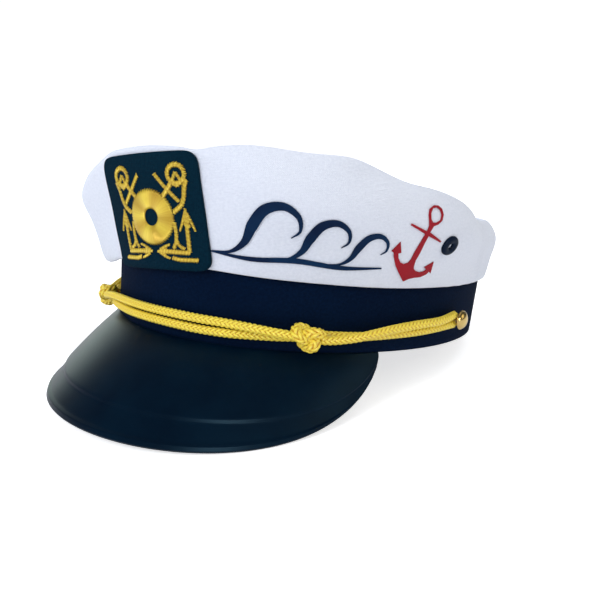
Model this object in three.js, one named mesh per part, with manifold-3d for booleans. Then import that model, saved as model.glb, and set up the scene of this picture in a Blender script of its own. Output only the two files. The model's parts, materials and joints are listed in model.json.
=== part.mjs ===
import * as THREE from 'three';
import Module from 'manifold-3d';
import { mergeVertices } from 'three/addons/utils/BufferGeometryUtils.js';

// A captain hat. Millimetres, +Z up, front of the hat towards -Y, wearer's left towards +X.
// The hat is modelled level, with the lower edge of its band at height 0, and is then
// leaned back until it stands on the visor's edge and the back of the band.
// A turn is an angle round the head: 0 at the front, 90 degrees at the wearer's left.

const rad = THREE.MathUtils.degToRad;

// Driving dimensions

// Pieces that touch keep this gap
const SEAT_GAP = 0.3;

// Band: the stiff ring that sits on the head, sized for a 58 cm head
const BAND_WIDTH = 178.4;
const BAND_LENGTH = 200.2;
const BAND_HEIGHT = 30.7;
const BAND_SIDE_DIP = 3.5;
const BAND_WALL = 2;
const BAND_FRONT_FLARE = 2.9;
const BAND_BACK_FLARE = 3.3;
const BAND_SIDE_FLARE = -1.5;
const BAND_LEAN = 2.5;

// Crown: how high its crest, how wide its belly and how deep its ledge over the band may be.
// The foot's rise is a share of the ledge; the shoulder's two shares run from belly to crest.
const CROWN_RISE = 47.5;
const CROWN_FLARE = 20;
const LEDGE_REACH = 6.5;
const CROWN_WALL = 1.8;
const CROWN_FOOT_RISE = 0.35;
const CROWN_SHOULDER_OUT = 0.42;
const CROWN_SHOULDER_UP = 0.66;
const TOP_SAG = 4;

// Visor: its reach from the band at the front, the turn of its ends and its slopes. The two
// powers shape its outline, a higher roundness fuller at the sides. The line pressed into it
// is at a share of its reach, and its tips are cut off where they would have no thickness.
const VISOR_REACH = 50.3;
const VISOR_END_TURN = rad(61.9);
const VISOR_FRONT_SLOPE = rad(39.7);
const VISOR_EXTRA_SLOPE = rad(27.5);
const VISOR_WALL = 1.8;
const VISOR_BULGE = 2.5;
const VISOR_STEP = 0.7;
const VISOR_STEP_AT = 0.76;
const VISOR_STEP_WIDTH = 1.5;
const VISOR_RIM = 3.5;
const VISOR_ROUNDNESS = 2.07;
const VISOR_TAPER = 0.65;
const VISOR_TIP = 0.998;

// Badge patch on the front of the crown: PATCH_SHIFT is towards the wearer's left and
// PATCH_OVERLAP is how far it hangs over the band
const PATCH_WIDTH = 55;
const PATCH_HEIGHT = 45.6;
const PATCH_CORNER = 5;
const PATCH_WALL = 1.2;
const PATCH_SHIFT = 2.8;
const PATCH_ROLL = rad(4.8);
const PATCH_OVERLAP = 2.8;

// Emblem: gold embroidery on the patch, an oval boss between two anchors
const EMBLEM_WIDTH = 43.5;
const EMBLEM_HEIGHT = 38;
const EMBLEM_SHIFT = 1.5;
const EMBLEM_FOOT = 3.4;
const EMBLEM_MIDDLE = 17.5;
const BOSS_WIDTH = 24.5;
const BOSS_HEIGHT = 22.5;
const BOSS_HOLE = 8;
const BOSS_RELIEF = 1.6;
const STITCH_WIDTH = 2;
const STITCH_RELIEF = 0.9;

// Strap: braided cord, a knot at each side of the front and a button at each side
const CORD_DIAMETER = 3.8;
const KNOT_LEFT_TURN = rad(42.6);
const KNOT_LEFT_HEIGHT = 7.5;
const KNOT_RIGHT_TURN = rad(-36);
const KNOT_RIGHT_HEIGHT = 6.7;
const KNOT_WIDTH = 15.2;
const KNOT_TALL = 11.6;
const KNOT_DEPTH = 9.2;
const KNOT_LUMP = 0.07;
const KNOT_CORD_DEPTH = 2.9;
const KNOT_CORD_APART = 1.2;
const BUTTON_TURN = rad(88.3);
const BUTTON_HEIGHT = 12.1;
const BUTTON_DIAMETER = 9;
const BUTTON_DOME = 2.8;
const SHANK_DIAMETER = 2;

// Eyelets, and ornaments of thin film, on the sides of the crown: heights are measured from
// the band's top edge, and the waves end at a distance from the anchor's foot
const EYELET_TURN = rad(74);
const EYELET_UP = 19;
const EYELET_DIAMETER = 9;
const EYELET_HOLE = 3.2;
const EYELET_RELIEF = 1;
const FILM_THICKNESS = 0.4;
const FILM_GAP = 0.55;
const FILM_STROKE = 2.3;
const ANCHOR_TURN = rad(64.5);
const ANCHOR_UP = 4.2;
const ANCHOR_HEIGHT = 31;
const ANCHOR_SPAN = 21;
const ANCHOR_LEAN = rad(13);
const WAVE_UP = 8;
const WAVE_TO_ANCHOR = 11.5;
const WAVE_HEIGHT = 21;

// How finely the forms are divided
const RING_STEPS = 52;
const CROWN_SPAN_STEPS = 2;
const VISOR_STEPS = 32;
const PATCH_SIDE_STEPS = 14;
const PATCH_UP_STEPS = 7;
const BOSS_STEPS = 18;
const EMBLEM_RING_STEPS = 10;
const ANCHOR_RING_STEPS = 12;
const WAVE_STEPS = 16;
const LATHE_STEPS = 16;
const CORD_ROUND_STEPS = 8;
const CORD_STEP = 2.2 * CORD_DIAMETER;
const KNOT_STEPS = 3;

// The crown's section at each turn. Ledge columns are shares of LEDGE_REACH, out columns of
// CROWN_FLARE and up columns of CROWN_RISE, measured from the band's top edge.
const CROWN_SECTIONS = [
  { turn: -150, ledge: 0.45, drop: 0.1, bellyOut: 0.30, bellyUp: 0.42, crestOut: 0.04, crestUp: 0.59 },
  { turn: -120, ledge: 0.60, drop: 0.3, bellyOut: 0.45, bellyUp: 0.44, crestOut: 0.12, crestUp: 0.62 },
  { turn: -90, ledge: 1.00, drop: 0.5, bellyOut: 0.72, bellyUp: 0.48, crestOut: 0.25, crestUp: 0.69 },
  { turn: -60, ledge: 1.40, drop: 0.7, bellyOut: 0.94, bellyUp: 0.52, crestOut: 0.36, crestUp: 0.78 },
  { turn: -33, ledge: 1.55, drop: 0.8, bellyOut: 1.00, bellyUp: 0.55, crestOut: 0.42, crestUp: 0.87 },
  { turn: -18, ledge: 0.30, drop: 0.0, bellyOut: 0.58, bellyUp: 0.84, crestOut: 0.46, crestUp: 0.92 },
  { turn: 0, ledge: 0.22, drop: 0.0, bellyOut: 0.38, bellyUp: 0.90, crestOut: 0.28, crestUp: 0.96 },
  { turn: 18, ledge: 0.22, drop: 0.0, bellyOut: 0.42, bellyUp: 0.90, crestOut: 0.32, crestUp: 0.97 },
  { turn: 30, ledge: 0.40, drop: 0.1, bellyOut: 0.68, bellyUp: 0.66, crestOut: 0.36, crestUp: 1.00 },
  { turn: 45, ledge: 0.45, drop: 0.1, bellyOut: 0.72, bellyUp: 0.61, crestOut: 0.38, crestUp: 0.99 },
  { turn: 60, ledge: 0.45, drop: 0.1, bellyOut: 0.70, bellyUp: 0.58, crestOut: 0.38, crestUp: 0.91 },
  { turn: 80, ledge: 0.40, drop: 0.0, bellyOut: 0.62, bellyUp: 0.51, crestOut: 0.40, crestUp: 0.79 },
  { turn: 87, ledge: 0.35, drop: 0.0, bellyOut: 0.50, bellyUp: 0.46, crestOut: 0.32, crestUp: 0.67 },
  { turn: 94, ledge: 0.30, drop: 0.0, bellyOut: 0.22, bellyUp: 0.43, crestOut: 0.02, crestUp: 0.63 },
  { turn: 115, ledge: 0.45, drop: 0.0, bellyOut: 0.26, bellyUp: 0.44, crestOut: 0.00, crestUp: 0.62 },
  { turn: 150, ledge: 0.45, drop: 0.1, bellyOut: 0.26, bellyUp: 0.42, crestOut: 0.00, crestUp: 0.60 },
  { turn: 180, ledge: 0.45, drop: 0.1, bellyOut: 0.26, bellyUp: 0.42, crestOut: 0.00, crestUp: 0.59 },
];

// One side of the emblem; the other side is its mirror image. Side is a share of half of
// EMBLEM_WIDTH, up a share of EMBLEM_HEIGHT and size a share of STITCH_WIDTH.
const EMBLEM_STROKES = [
  { what: 'shank', size: 1.0, line: [[0.68, 0.82], [0.30, 0.60]] },
  { what: 'stock', size: 0.9, line: [[0.22, 0.90], [0.77, 0.60]] },
  { what: 'rope', size: 0.9, line: [[0.94, 0.86], [0.91, 0.68], [0.74, 0.56], [0.50, 0.50]] },
  { what: 'arm', size: 1.0, line: [[0.84, 0.50], [0.84, 0.12], [0.12, 0.12]] },
  { what: 'barb', size: 0.9, line: [[0.84, 0.54], [0.98, 0.32]] },
  { what: 'barb', size: 0.9, line: [[0.84, 0.54], [0.70, 0.33]] },
  { what: 'strand', size: 0.9, line: [[0.58, 0.50], [0.56, 0.28], [0.74, 0.12]] },
  { what: 'barb', size: 0.9, line: [[0.12, 0.12], [0.32, 0.19]] },
  { what: 'barb', size: 0.9, line: [[0.12, 0.12], [0.36, 0.02], [0.94, 0.01]] },
];
const EMBLEM_RING = { side: 0.72, up: 0.88, width: 0.44, height: 0.25 };

// One wave, from its foot over its crest to its tip, as shares of its own height, and half of
// its stroke's width there as a share of FILM_STROKE
const WAVE_LINE = [
  { side: 0.00, up: 0.00, half: 0.11 },
  { side: 0.40, up: 0.04, half: 0.24 },
  { side: 0.68, up: 0.24, half: 0.57 },
  { side: 0.84, up: 0.56, half: 0.91 },
  { side: 1.06, up: 0.86, half: 0.83 },
  { side: 1.36, up: 0.95, half: 0.61 },
  { side: 1.60, up: 0.80, half: 0.41 },
  { side: 1.64, up: 0.56, half: 0.22 },
  { side: 1.50, up: 0.42, half: 0.05 },
];

// The waves and their common base line, as shares of WAVE_HEIGHT
const WAVES = [
  { start: 0, size: 1 },
  { start: 1.14, size: 0.8 },
  { start: 2.1, size: 0.64 },
];
const WAVE_BASE = [
  { side: 0.00, up: 0.00, half: 0.1 },
  { side: 0.80, up: -0.05, half: 0.36 },
  { side: 1.60, up: 0.01, half: 0.44 },
  { side: 2.40, up: -0.04, half: 0.36 },
  { side: 3.14, up: 0.01, half: 0.1 },
];

// Strap route at each turn: the height of the middle of its two cords, and how far apart they
// run. Where that is less than a cord's thickness, the upper one stands out over the lower, and
// where it is negative they have changed places. All are lengths, because a cord keeps its size.
const FRONT_CORD_ROUTE = [
  { turn: -29, height: 7.4, apart: 2.4 },
  { turn: -22, height: 8.0, apart: 3.9 },
  { turn: -10, height: 8.4, apart: 4.3 },
  { turn: 0, height: 8.6, apart: 4.3 },
  { turn: 9, height: 8.5, apart: 4.4 },
  { turn: 16, height: 8.2, apart: 4.4 },
  { turn: 23, height: 8.0, apart: 4.1 },
  { turn: 29, height: 8.0, apart: 3.5 },
  { turn: 35, height: 7.7, apart: 2.3 },
];
const SIDE_CORD_ROUTE = [
  { turn: 49, height: 7.5, apart: -0.8 },
  { turn: 54, height: 8.0, apart: 0.5 },
  { turn: 58.5, height: 8.8, apart: 1.9 },
  { turn: 64, height: 9.8, apart: 3.0 },
  { turn: 71, height: 10.5, apart: 3.6 },
  { turn: 79, height: 11.2, apart: 3.6 },
];

// Materials

function cloth(color, roughness = 0.9) {
  return new THREE.MeshStandardMaterial({ color, roughness, metalness: 0 });
}

const navyCloth = cloth(0x0b1830);
const whiteTwill = cloth(0xe4e8f2);
const visorSheet = cloth(0x0a1416, 0.35);
const patchCloth = cloth(0x0a2428);
const goldThread = cloth(0xd9a92c, 0.5);
const goldCord = cloth(0xe2b93f, 0.55);
const redFilm = cloth(0x9c1f33, 0.45);
const navyFilm = cloth(0x0a1f3a, 0.45);
const eyeletPaint = cloth(0x0a1c33, 0.4);
const brass = new THREE.MeshStandardMaterial({ color: 0xc9a45a, roughness: 0.25, metalness: 1 });

// Helpers for shapes

const mix = THREE.MathUtils.lerp;

// The band's outer surface at a turn and a height, or a line that stands out from it
function bandPoint(turn, height, out = 0) {
  const up = height / BAND_HEIGHT;
  const flare = Math.cos(turn) > 0 ? BAND_FRONT_FLARE : BAND_BACK_FLARE;
  const halfWidth = BAND_WIDTH / 2 + BAND_SIDE_FLARE * up + out;
  const halfLength = BAND_LENGTH / 2 + flare * up + out;
  return new THREE.Vector3(
    halfWidth * Math.sin(turn) + BAND_LEAN * up,
    -halfLength * Math.cos(turn),
    height,
  );
}

function bandTop(turn) {
  return BAND_HEIGHT - BAND_SIDE_DIP * Math.sin(turn) ** 2;
}

// A closed body through sections that are rings of the same even number of points. Each
// section runs up the outer face and down the inner one, and the sections follow the turn.
function loft(sections, isRing = false) {
  const count = sections[0].length;
  const faces = [];
  const at = (section, point) => (section % sections.length) * count + (point % count);
  const quad = (a, b, c, d) => faces.push(a, b, c, a, c, d);
  const spans = isRing ? sections.length : sections.length - 1;
  for (let s = 0; s < spans; s += 1) {
    for (let p = 0; p < count; p += 1) {
      quad(at(s, p), at(s + 1, p), at(s + 1, p + 1), at(s, p + 1));
    }
  }
  if (!isRing) {
    const last = sections.length - 1;
    for (let p = 0; p < count / 2 - 1; p += 1) {
      const partner = count - 1 - p;
      quad(at(0, p), at(0, p + 1), at(0, partner - 1), at(0, partner));
      quad(at(last, partner), at(last, partner - 1), at(last, p + 1), at(last, p));
    }
  }
  return meshGeometry(sections.flat().flatMap((point) => point.toArray()), faces);
}

function meshGeometry(positions, faces) {
  const geometry = new THREE.BufferGeometry();
  geometry.setAttribute('position', new THREE.Float32BufferAttribute(positions, 3));
  geometry.setIndex(faces);
  return geometry;
}

// Smooth value of one column of a table at a turn, going round through all its rows
function columnAt(table, column, turn) {
  const first = table[0].turn;
  const degrees = THREE.MathUtils.euclideanModulo(THREE.MathUtils.radToDeg(turn) - first, 360) + first;
  const row = (index) => {
    const round = Math.floor(index / table.length);
    const found = table[index - round * table.length];
    return { turn: found.turn + 360 * round, value: found[column] };
  };
  let index = 0;
  while (row(index + 1).turn <= degrees) {
    index += 1;
  }
  const slope = (i) => (row(i + 1).value - row(i - 1).value) / (row(i + 1).turn - row(i - 1).turn);
  const from = row(index);
  const to = row(index + 1);
  const span = to.turn - from.turn;
  const share = (degrees - from.turn) / span;
  const ease = share * share * (3 - 2 * share);
  const leave = share * (1 - share) ** 2 * span * slope(index);
  const arrive = share * share * (share - 1) * span * slope(index + 1);
  return mix(from.value, to.value, ease) + leave + arrive;
}

// Crown

// The crown's outer profile at a turn, from the band's top edge to the crest seam: x is how
// far it stands out from the band and y how far it is above the band's top edge
function crownCorners(turn) {
  const value = (column) => columnAt(CROWN_SECTIONS, column, turn);
  const ledge = value('ledge') * LEDGE_REACH;
  const drop = value('drop') * LEDGE_REACH;
  const hem = new THREE.Vector3(SEAT_GAP, SEAT_GAP, 0);
  const foot = new THREE.Vector3(hem.x + ledge, hem.y + CROWN_FOOT_RISE * ledge, 0);
  const belly = new THREE.Vector3(value('bellyOut') * CROWN_FLARE, value('bellyUp') * CROWN_RISE, 0);
  const crest = new THREE.Vector3(value('crestOut') * CROWN_FLARE, value('crestUp') * CROWN_RISE, 0);
  const shoulder = new THREE.Vector3(
    mix(belly.x, crest.x, CROWN_SHOULDER_OUT),
    mix(belly.y, crest.y, CROWN_SHOULDER_UP),
    0,
  );
  return [
    { point: new THREE.Vector3(-BAND_WALL, hem.y, 0), lean: 90 },
    { point: hem, lean: 60 },
    { point: new THREE.Vector3(mix(hem.x, foot.x, 0.55), hem.y - drop, 0), lean: 35 },
    { point: foot, lean: 5 },
    { point: foot.clone().lerp(belly, 0.5), lean: 0 },
    { point: belly, lean: -15 },
    { point: shoulder, lean: -45 },
    { point: crest, lean: -75 },
    { point: new THREE.Vector3(crest.x - CROWN_WALL, crest.y, 0), lean: -90 },
  ];
}

function crownOutline(turn) {
  const corners = crownCorners(turn);
  const curve = new THREE.CatmullRomCurve3(corners.map((corner) => corner.point));
  return curve.getPoints((corners.length - 1) * CROWN_SPAN_STEPS);
}

// The same outline moved inwards by the wall, one point for each corner. A corner's lean is
// the direction of the wall's thickness there: 90 is straight up, -90 straight down.
function crownLining(turn) {
  return crownCorners(turn).map(({ point, lean }) => {
    const angle = rad(lean);
    const inwards = new THREE.Vector3(-Math.cos(angle), Math.sin(angle), 0);
    return point.clone().addScaledVector(inwards, CROWN_WALL);
  });
}

// How far the crown's wall stands out at a turn and a height above the band's top edge. The
// wall is the outline from the foot, its fourth corner, to the crest, its last but one.
function crownOut(turn, up) {
  const wall = crownOutline(turn).slice(3 * CROWN_SPAN_STEPS, -CROWN_SPAN_STEPS);
  const next = wall.findIndex((point) => point.y > up);
  if (next <= 0) {
    return next < 0 ? wall.at(-1).x : wall[0].x;
  }
  const below = wall[next - 1];
  const above = wall[next];
  return mix(below.x, above.x, (up - below.y) / (above.y - below.y));
}

function crownPoint(turn, out, up) {
  const point = bandPoint(turn, bandTop(turn), out);
  point.z += up;
  return point;
}

function ringTurns(steps) {
  return Array.from({ length: steps }, (_, step) => (step / steps) * 2 * Math.PI);
}

function crownSide() {
  const sections = ringTurns(RING_STEPS).map((turn) => {
    const section = [...crownOutline(turn), ...crownLining(turn).reverse()];
    return section.map((point) => crownPoint(turn, point.x, point.y));
  });
  return loft(sections, true);
}

// The top panel lies inside the crest seam and sags a little towards its middle
function crownTop() {
  const turns = ringTurns(RING_STEPS);
  const rowShares = [1, 0.82, 0.45];
  const edges = turns.map((turn) => {
    const rim = crownCorners(turn).at(-1).point;
    return crownPoint(turn, rim.x - SEAT_GAP, rim.y);
  });
  const sum = edges.reduce((total, edge) => total.add(edge), new THREE.Vector3());
  const middle = sum.divideScalar(edges.length);
  const panelPoint = (edge, share, depth) => {
    const point = middle.clone().lerp(edge, share);
    point.z -= TOP_SAG * (1 - share ** 2) + depth;
    return point;
  };
  const rows = [
    ...rowShares.map((share) => edges.map((edge) => panelPoint(edge, share, 0))).reverse(),
    ...rowShares.map((share) => edges.map((edge) => panelPoint(edge, share, CROWN_WALL))),
  ];
  const points = rows.flat();
  const faces = [];
  const steps = turns.length;
  for (let row = 0; row < rows.length - 1; row += 1) {
    for (let step = 0; step < steps; step += 1) {
      const here = row * steps + step;
      const beside = row * steps + ((step + 1) % steps);
      faces.push(here, here + steps, beside + steps, here, beside + steps, beside);
    }
  }
  const upperMiddle = points.push(panelPoint(middle, 0, 0)) - 1;
  const lowerMiddle = points.push(panelPoint(middle, 0, CROWN_WALL)) - 1;
  const lastRow = (rows.length - 1) * steps;
  for (let step = 0; step < steps; step += 1) {
    const beside = (step + 1) % steps;
    faces.push(upperMiddle, step, beside);
    faces.push(lowerMiddle, lastRow + beside, lastRow + step);
  }
  return meshGeometry(points.flatMap((point) => point.toArray()), faces);
}

// Band

function bandRing() {
  const sections = ringTurns(RING_STEPS).map((turn) => {
    const top = bandTop(turn);
    const heights = [0, top / 2, top];
    return [
      ...heights.map((height) => bandPoint(turn, height)),
      ...heights.reverse().map((height) => bandPoint(turn, height, -BAND_WALL)),
    ];
  });
  return loft(sections, true);
}

// Visor

// Outward direction of the band's lower edge
function bandNormal(turn) {
  return new THREE.Vector3(
    Math.sin(turn) * BAND_LENGTH,
    -Math.cos(turn) * BAND_WIDTH,
    0,
  ).normalize();
}

function visorReach(share) {
  return VISOR_REACH * (1 - Math.abs(share) ** VISOR_ROUNDNESS) ** VISOR_TAPER;
}

function visorSlope(share) {
  return VISOR_FRONT_SLOPE + VISOR_EXTRA_SLOPE * share ** 2;
}

// The visor's section at a share of its half width: rows of how far along the slope and how
// far above it the upper face runs
function visorSection(share) {
  const turn = share * VISOR_END_TURN;
  const reach = visorReach(share);
  const slope = visorSlope(share);
  const outward = bandNormal(turn);
  const down = outward.clone().multiplyScalar(Math.cos(slope)).setZ(-Math.sin(slope));
  const above = outward.clone().multiplyScalar(Math.sin(slope)).setZ(Math.cos(slope));
  const root = bandPoint(turn, 0).setZ(-SEAT_GAP);
  const flange = bandPoint(turn, 0, -BAND_WALL).setZ(-SEAT_GAP);
  const full = reach / VISOR_REACH;
  const rim = (VISOR_RIM / VISOR_REACH) * Math.min(1, full * 2);
  const step = VISOR_STEP * full;
  const rows = [
    { along: 1, rise: -step },
    { along: 1 - rim / 2, rise: 0 },
    { along: 1 - rim, rise: -step },
    { along: VISOR_STEP_AT, rise: -step },
    { along: VISOR_STEP_AT - VISOR_STEP_WIDTH / VISOR_REACH, rise: 0 },
    { along: 0.5, rise: 0 },
    { along: 0.25, rise: 0 },
    { along: 0, rise: 0 },
  ];
  const facePoint = (row, depth) => {
    const bulge = VISOR_BULGE * full * 4 * row.along * (1 - row.along);
    return root.clone()
      .addScaledVector(down, row.along * reach)
      .addScaledVector(above, bulge + row.rise - depth);
  };
  const upper = rows.map((row) => facePoint(row, 0));
  const lower = rows.slice(0, -1).map(({ along }) => (
    facePoint({ along, rise: -step }, VISOR_WALL - step)
  ));
  const underRoot = root.clone().setZ(-SEAT_GAP - VISOR_WALL).addScaledVector(outward, -VISOR_WALL / 2);
  const underFlange = flange.clone().setZ(-SEAT_GAP - VISOR_WALL);
  return [...upper, flange, underFlange, underRoot, ...lower.reverse()];
}

function visorSheetBody() {
  const sections = [];
  for (let step = 0; step <= VISOR_STEPS; step += 1) {
    const share = VISOR_TIP * Math.sin(mix(-Math.PI / 2, Math.PI / 2, step / VISOR_STEPS));
    sections.push(visorSection(share));
  }
  return loft(sections, false);
}

// Work on surfaces: the patch, its emblem and the films are laid out flat and then placed

// The same line with no stretch longer than a length
function divide(line, longest) {
  const points = [line[0]];
  for (let index = 1; index < line.length; index += 1) {
    const from = line[index - 1];
    const pieces = Math.ceil(from.distanceTo(line[index]) / longest);
    for (let piece = 1; piece <= pieces; piece += 1) {
      points.push(from.clone().lerp(line[index], piece / pieces));
    }
  }
  return points;
}

// The value of a list of numbers at a share of the way along it
function alongList(values, share) {
  const place = share * (values.length - 1);
  const index = Math.min(Math.floor(place), values.length - 2);
  return values.length === 1 ? values[0] : mix(values[index], values[index + 1], place - index);
}

// A closed ribbon along a flat line of points, flat or raised in its middle. Place turns
// side, up and height above the surface into a point of the hat.
function ribbon(line, halfWidths, relief, place, { isClosed = false, isDomed = false } = {}) {
  const last = line.length - 1;
  const sections = line.map((point, index) => {
    const before = isClosed ? line[(index + last) % line.length] : line[Math.max(index - 1, 0)];
    const after = isClosed ? line[(index + 1) % line.length] : line[Math.min(index + 1, last)];
    const along = after.clone().sub(before).normalize();
    const half = alongList(halfWidths, index / last);
    const across = (share, height) => place(
      point.x - along.y * half * share,
      point.y + along.x * half * share,
      height,
    );
    if (isDomed) {
      const edge = relief * 0.4;
      const face = [across(-1, edge), across(0, relief), across(1, edge)];
      return [...face, across(1, 0), across(0, 0), across(-1, 0)];
    }
    return [across(-1, relief), across(1, relief), across(1, 0), across(-1, 0)];
  });
  return loft(sections, isClosed);
}

function ovalLine(center, halfWidth, halfHeight, steps) {
  return Array.from({ length: steps }, (_, step) => {
    const angle = (step / steps) * 2 * Math.PI;
    return new THREE.Vector2(
      center.x + halfWidth * Math.cos(angle),
      center.y + halfHeight * Math.sin(angle),
    );
  });
}

// Closed meshes joined into one body
const wasm = await Module();
wasm.setup();

function toSolid(geometry) {
  const bare = geometry.clone();
  bare.deleteAttribute('normal');
  bare.deleteAttribute('uv');
  const merged = mergeVertices(bare);
  return new wasm.Manifold(new wasm.Mesh({
    numProp: 3,
    vertProperties: new Float32Array(merged.getAttribute('position').array),
    triVerts: new Uint32Array(merged.getIndex().array),
  }));
}

function toGeometry(solid) {
  const mesh = solid.getMesh();
  return meshGeometry(Array.from(mesh.vertProperties), Array.from(mesh.triVerts));
}

function fuse(geometries) {
  return toGeometry(geometries.map(toSolid).reduce((whole, part) => whole.add(part)));
}

// A point on the front of the crown, from flat places on the patch measured from its lower
// middle. The patch stands straight where the crown's shoulder begins to round in.
function patchPoint(side, up, out) {
  const flat = new THREE.Vector2(side, up - PATCH_HEIGHT / 2);
  flat.rotateAround(new THREE.Vector2(), PATCH_ROLL);
  const x = flat.x + PATCH_SHIFT;
  const height = flat.y + PATCH_HEIGHT / 2 - PATCH_OVERLAP;
  let turn = 0;
  let point = crownPoint(turn, 0, 0);
  for (let pass = 0; pass < 5; pass += 1) {
    point = crownPoint(turn, crownOut(turn, Math.max(height, 0)) + SEAT_GAP + out, height);
    turn += (x - point.x) / BAND_WIDTH * 2;
  }
  return point;
}

function badgePatch() {
  const sections = [];
  for (let column = 0; column <= PATCH_SIDE_STEPS; column += 1) {
    const angle = mix(-Math.PI / 2, Math.PI / 2, column / PATCH_SIDE_STEPS);
    const side = Math.sin(angle) * PATCH_WIDTH / 2;
    const intoCorner = Math.max(0, Math.abs(side) - (PATCH_WIDTH / 2 - PATCH_CORNER));
    const cut = PATCH_CORNER - Math.sqrt(PATCH_CORNER ** 2 - intoCorner ** 2);
    const edge = [];
    for (let row = 0; row <= PATCH_UP_STEPS; row += 1) {
      edge.push(mix(cut, PATCH_HEIGHT - cut, row / PATCH_UP_STEPS));
    }
    sections.push([
      ...edge.map((up) => patchPoint(side, up, PATCH_WALL)),
      ...edge.reverse().map((up) => patchPoint(side, up, 0)),
    ]);
  }
  return loft(sections, false);
}

function badgeEmblem() {
  const onPatch = (side, up, height) => (
    patchPoint(side + EMBLEM_SHIFT, up + EMBLEM_FOOT, PATCH_WALL + SEAT_GAP + height)
  );
  const middle = new THREE.Vector2(0, EMBLEM_MIDDLE);
  const bossHalf = (BOSS_WIDTH - BOSS_HOLE) / 4;
  const bossLine = ovalLine(middle, BOSS_WIDTH / 2 - bossHalf, BOSS_HEIGHT / 2 - bossHalf, BOSS_STEPS);
  const raised = { isClosed: true, isDomed: true };
  const pieces = [ribbon(bossLine, [bossHalf], BOSS_RELIEF, onPatch, raised)];
  for (const mirror of [-1, 1]) {
    const spot = ([side, up]) => new THREE.Vector2(mirror * side * EMBLEM_WIDTH / 2, up * EMBLEM_HEIGHT);
    for (const { size, line } of EMBLEM_STROKES) {
      const stroke = divide(line.map(spot), 4 * STITCH_WIDTH);
      pieces.push(ribbon(stroke, [size * STITCH_WIDTH / 2], STITCH_RELIEF, onPatch));
    }
    const ringHalf = STITCH_WIDTH / 2;
    const ringLine = ovalLine(
      spot([EMBLEM_RING.side, EMBLEM_RING.up]),
      EMBLEM_RING.width * EMBLEM_WIDTH / 4,
      EMBLEM_RING.height * EMBLEM_HEIGHT / 2 - ringHalf,
      EMBLEM_RING_STEPS,
    );
    pieces.push(ribbon(ringLine, [ringHalf], STITCH_RELIEF * 0.95, onPatch, { isClosed: true }));
  }
  return fuse(pieces);
}

// Places on a side of the crown, flat lengths measured along the wall from a turn
function wallPlace(fromTurn) {
  const smallTurn = 0.1;
  const out = crownOut(fromTurn, 0);
  const start = crownPoint(fromTurn, out, 0);
  const millimetresPerTurn = start.distanceTo(crownPoint(fromTurn + smallTurn, out, 0)) / smallTurn;
  return (side, up, height) => {
    const turn = fromTurn + side / millimetresPerTurn;
    return crownPoint(turn, crownOut(turn, up) + FILM_GAP + height, up);
  };
}

// Anchor: a shank with a ring and a stock, and arms that end in pointed flukes
function anchorApplique() {
  const onWall = wallPlace(ANCHOR_TURN);
  const place = (side, up, height) => {
    const flat = new THREE.Vector2(side, up).rotateAround(new THREE.Vector2(), -ANCHOR_LEAN);
    return onWall(flat.x, flat.y + ANCHOR_UP, height);
  };
  const half = FILM_STROKE / 2;
  const spot = ([side, up]) => new THREE.Vector2(side * ANCHOR_SPAN / 2, up * ANCHOR_HEIGHT);
  const film = (spots, halfWidths) => (
    ribbon(divide(spots.map(spot), 2 * FILM_STROKE), halfWidths, FILM_THICKNESS, place)
  );
  const ringRadius = ANCHOR_HEIGHT * 0.11;
  const ring = ovalLine(spot([0, 0.87]), ringRadius * 0.85, ringRadius, ANCHOR_RING_STEPS);
  const pieces = [
    ribbon(ring, [half * 0.7], FILM_THICKNESS, place, { isClosed: true }),
    film([[0, 0.79], [0, 0]], [half * 0.7, half * 1.5]),
    film([[-0.9, 0.68], [0.56, 0.63]], [half * 0.6]),
  ];
  for (const mirror of [-1, 1]) {
    pieces.push(film([[0, 0.04], [mirror * 0.6, 0.11], [mirror * 0.82, 0.3]], [half * 1.6, half * 0.8]));
    pieces.push(film([[mirror * 0.64, 0.19], [mirror * 1, 0.37]], [half * 2.2, 0.1]));
  }
  return fuse(pieces);
}

// Running waves: each climbs from a base line, thickens and curls over to a tip, and they get
// smaller towards the back
function waveApplique() {
  const onWall = wallPlace(ANCHOR_TURN);
  const waveLength = WAVE_BASE.at(-1).side * WAVE_HEIGHT;
  const place = (side, up, height) => (
    onWall(side - waveLength - WAVE_TO_ANCHOR, up + WAVE_UP, height)
  );
  const brushed = (rows, start, size) => {
    const height = WAVE_HEIGHT * size;
    const curve = new THREE.SplineCurve(rows.map(({ side, up }) => (
      new THREE.Vector2(start * WAVE_HEIGHT + side * height, up * height)
    )));
    const halfWidths = rows.map(({ half }) => half * FILM_STROKE * size);
    return ribbon(curve.getPoints(WAVE_STEPS), halfWidths, FILM_THICKNESS, place);
  };
  const waves = WAVES.map(({ start, size }) => brushed(WAVE_LINE, start, size));
  return fuse([brushed(WAVE_BASE, 0, 1), ...waves]);
}

// Hardware

// Where a piece sits on a surface: its place and the turn that lays its Y axis outwards
function seat(mesh, point, outward) {
  mesh.position.copy(point);
  mesh.quaternion.setFromUnitVectors(new THREE.Vector3(0, 1, 0), outward);
}

function lathe(profile) {
  const points = profile.map(([x, y]) => new THREE.Vector2(x, y));
  const geometry = new THREE.LatheGeometry(points, LATHE_STEPS);
  geometry.deleteAttribute('normal');
  geometry.deleteAttribute('uv');
  return mergeVertices(geometry);
}

function eyeletRing() {
  const outer = EYELET_DIAMETER / 2;
  const hole = EYELET_HOLE / 2;
  const crownOfRing = mix(hole, outer, 0.45);
  return lathe([
    [hole, 0],
    [outer, 0],
    [outer, EYELET_RELIEF * 0.35],
    [outer - EYELET_RELIEF * 0.5, EYELET_RELIEF * 0.8],
    [crownOfRing, EYELET_RELIEF],
    [hole, EYELET_RELIEF * 0.6],
    [hole, 0],
  ]);
}

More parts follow.
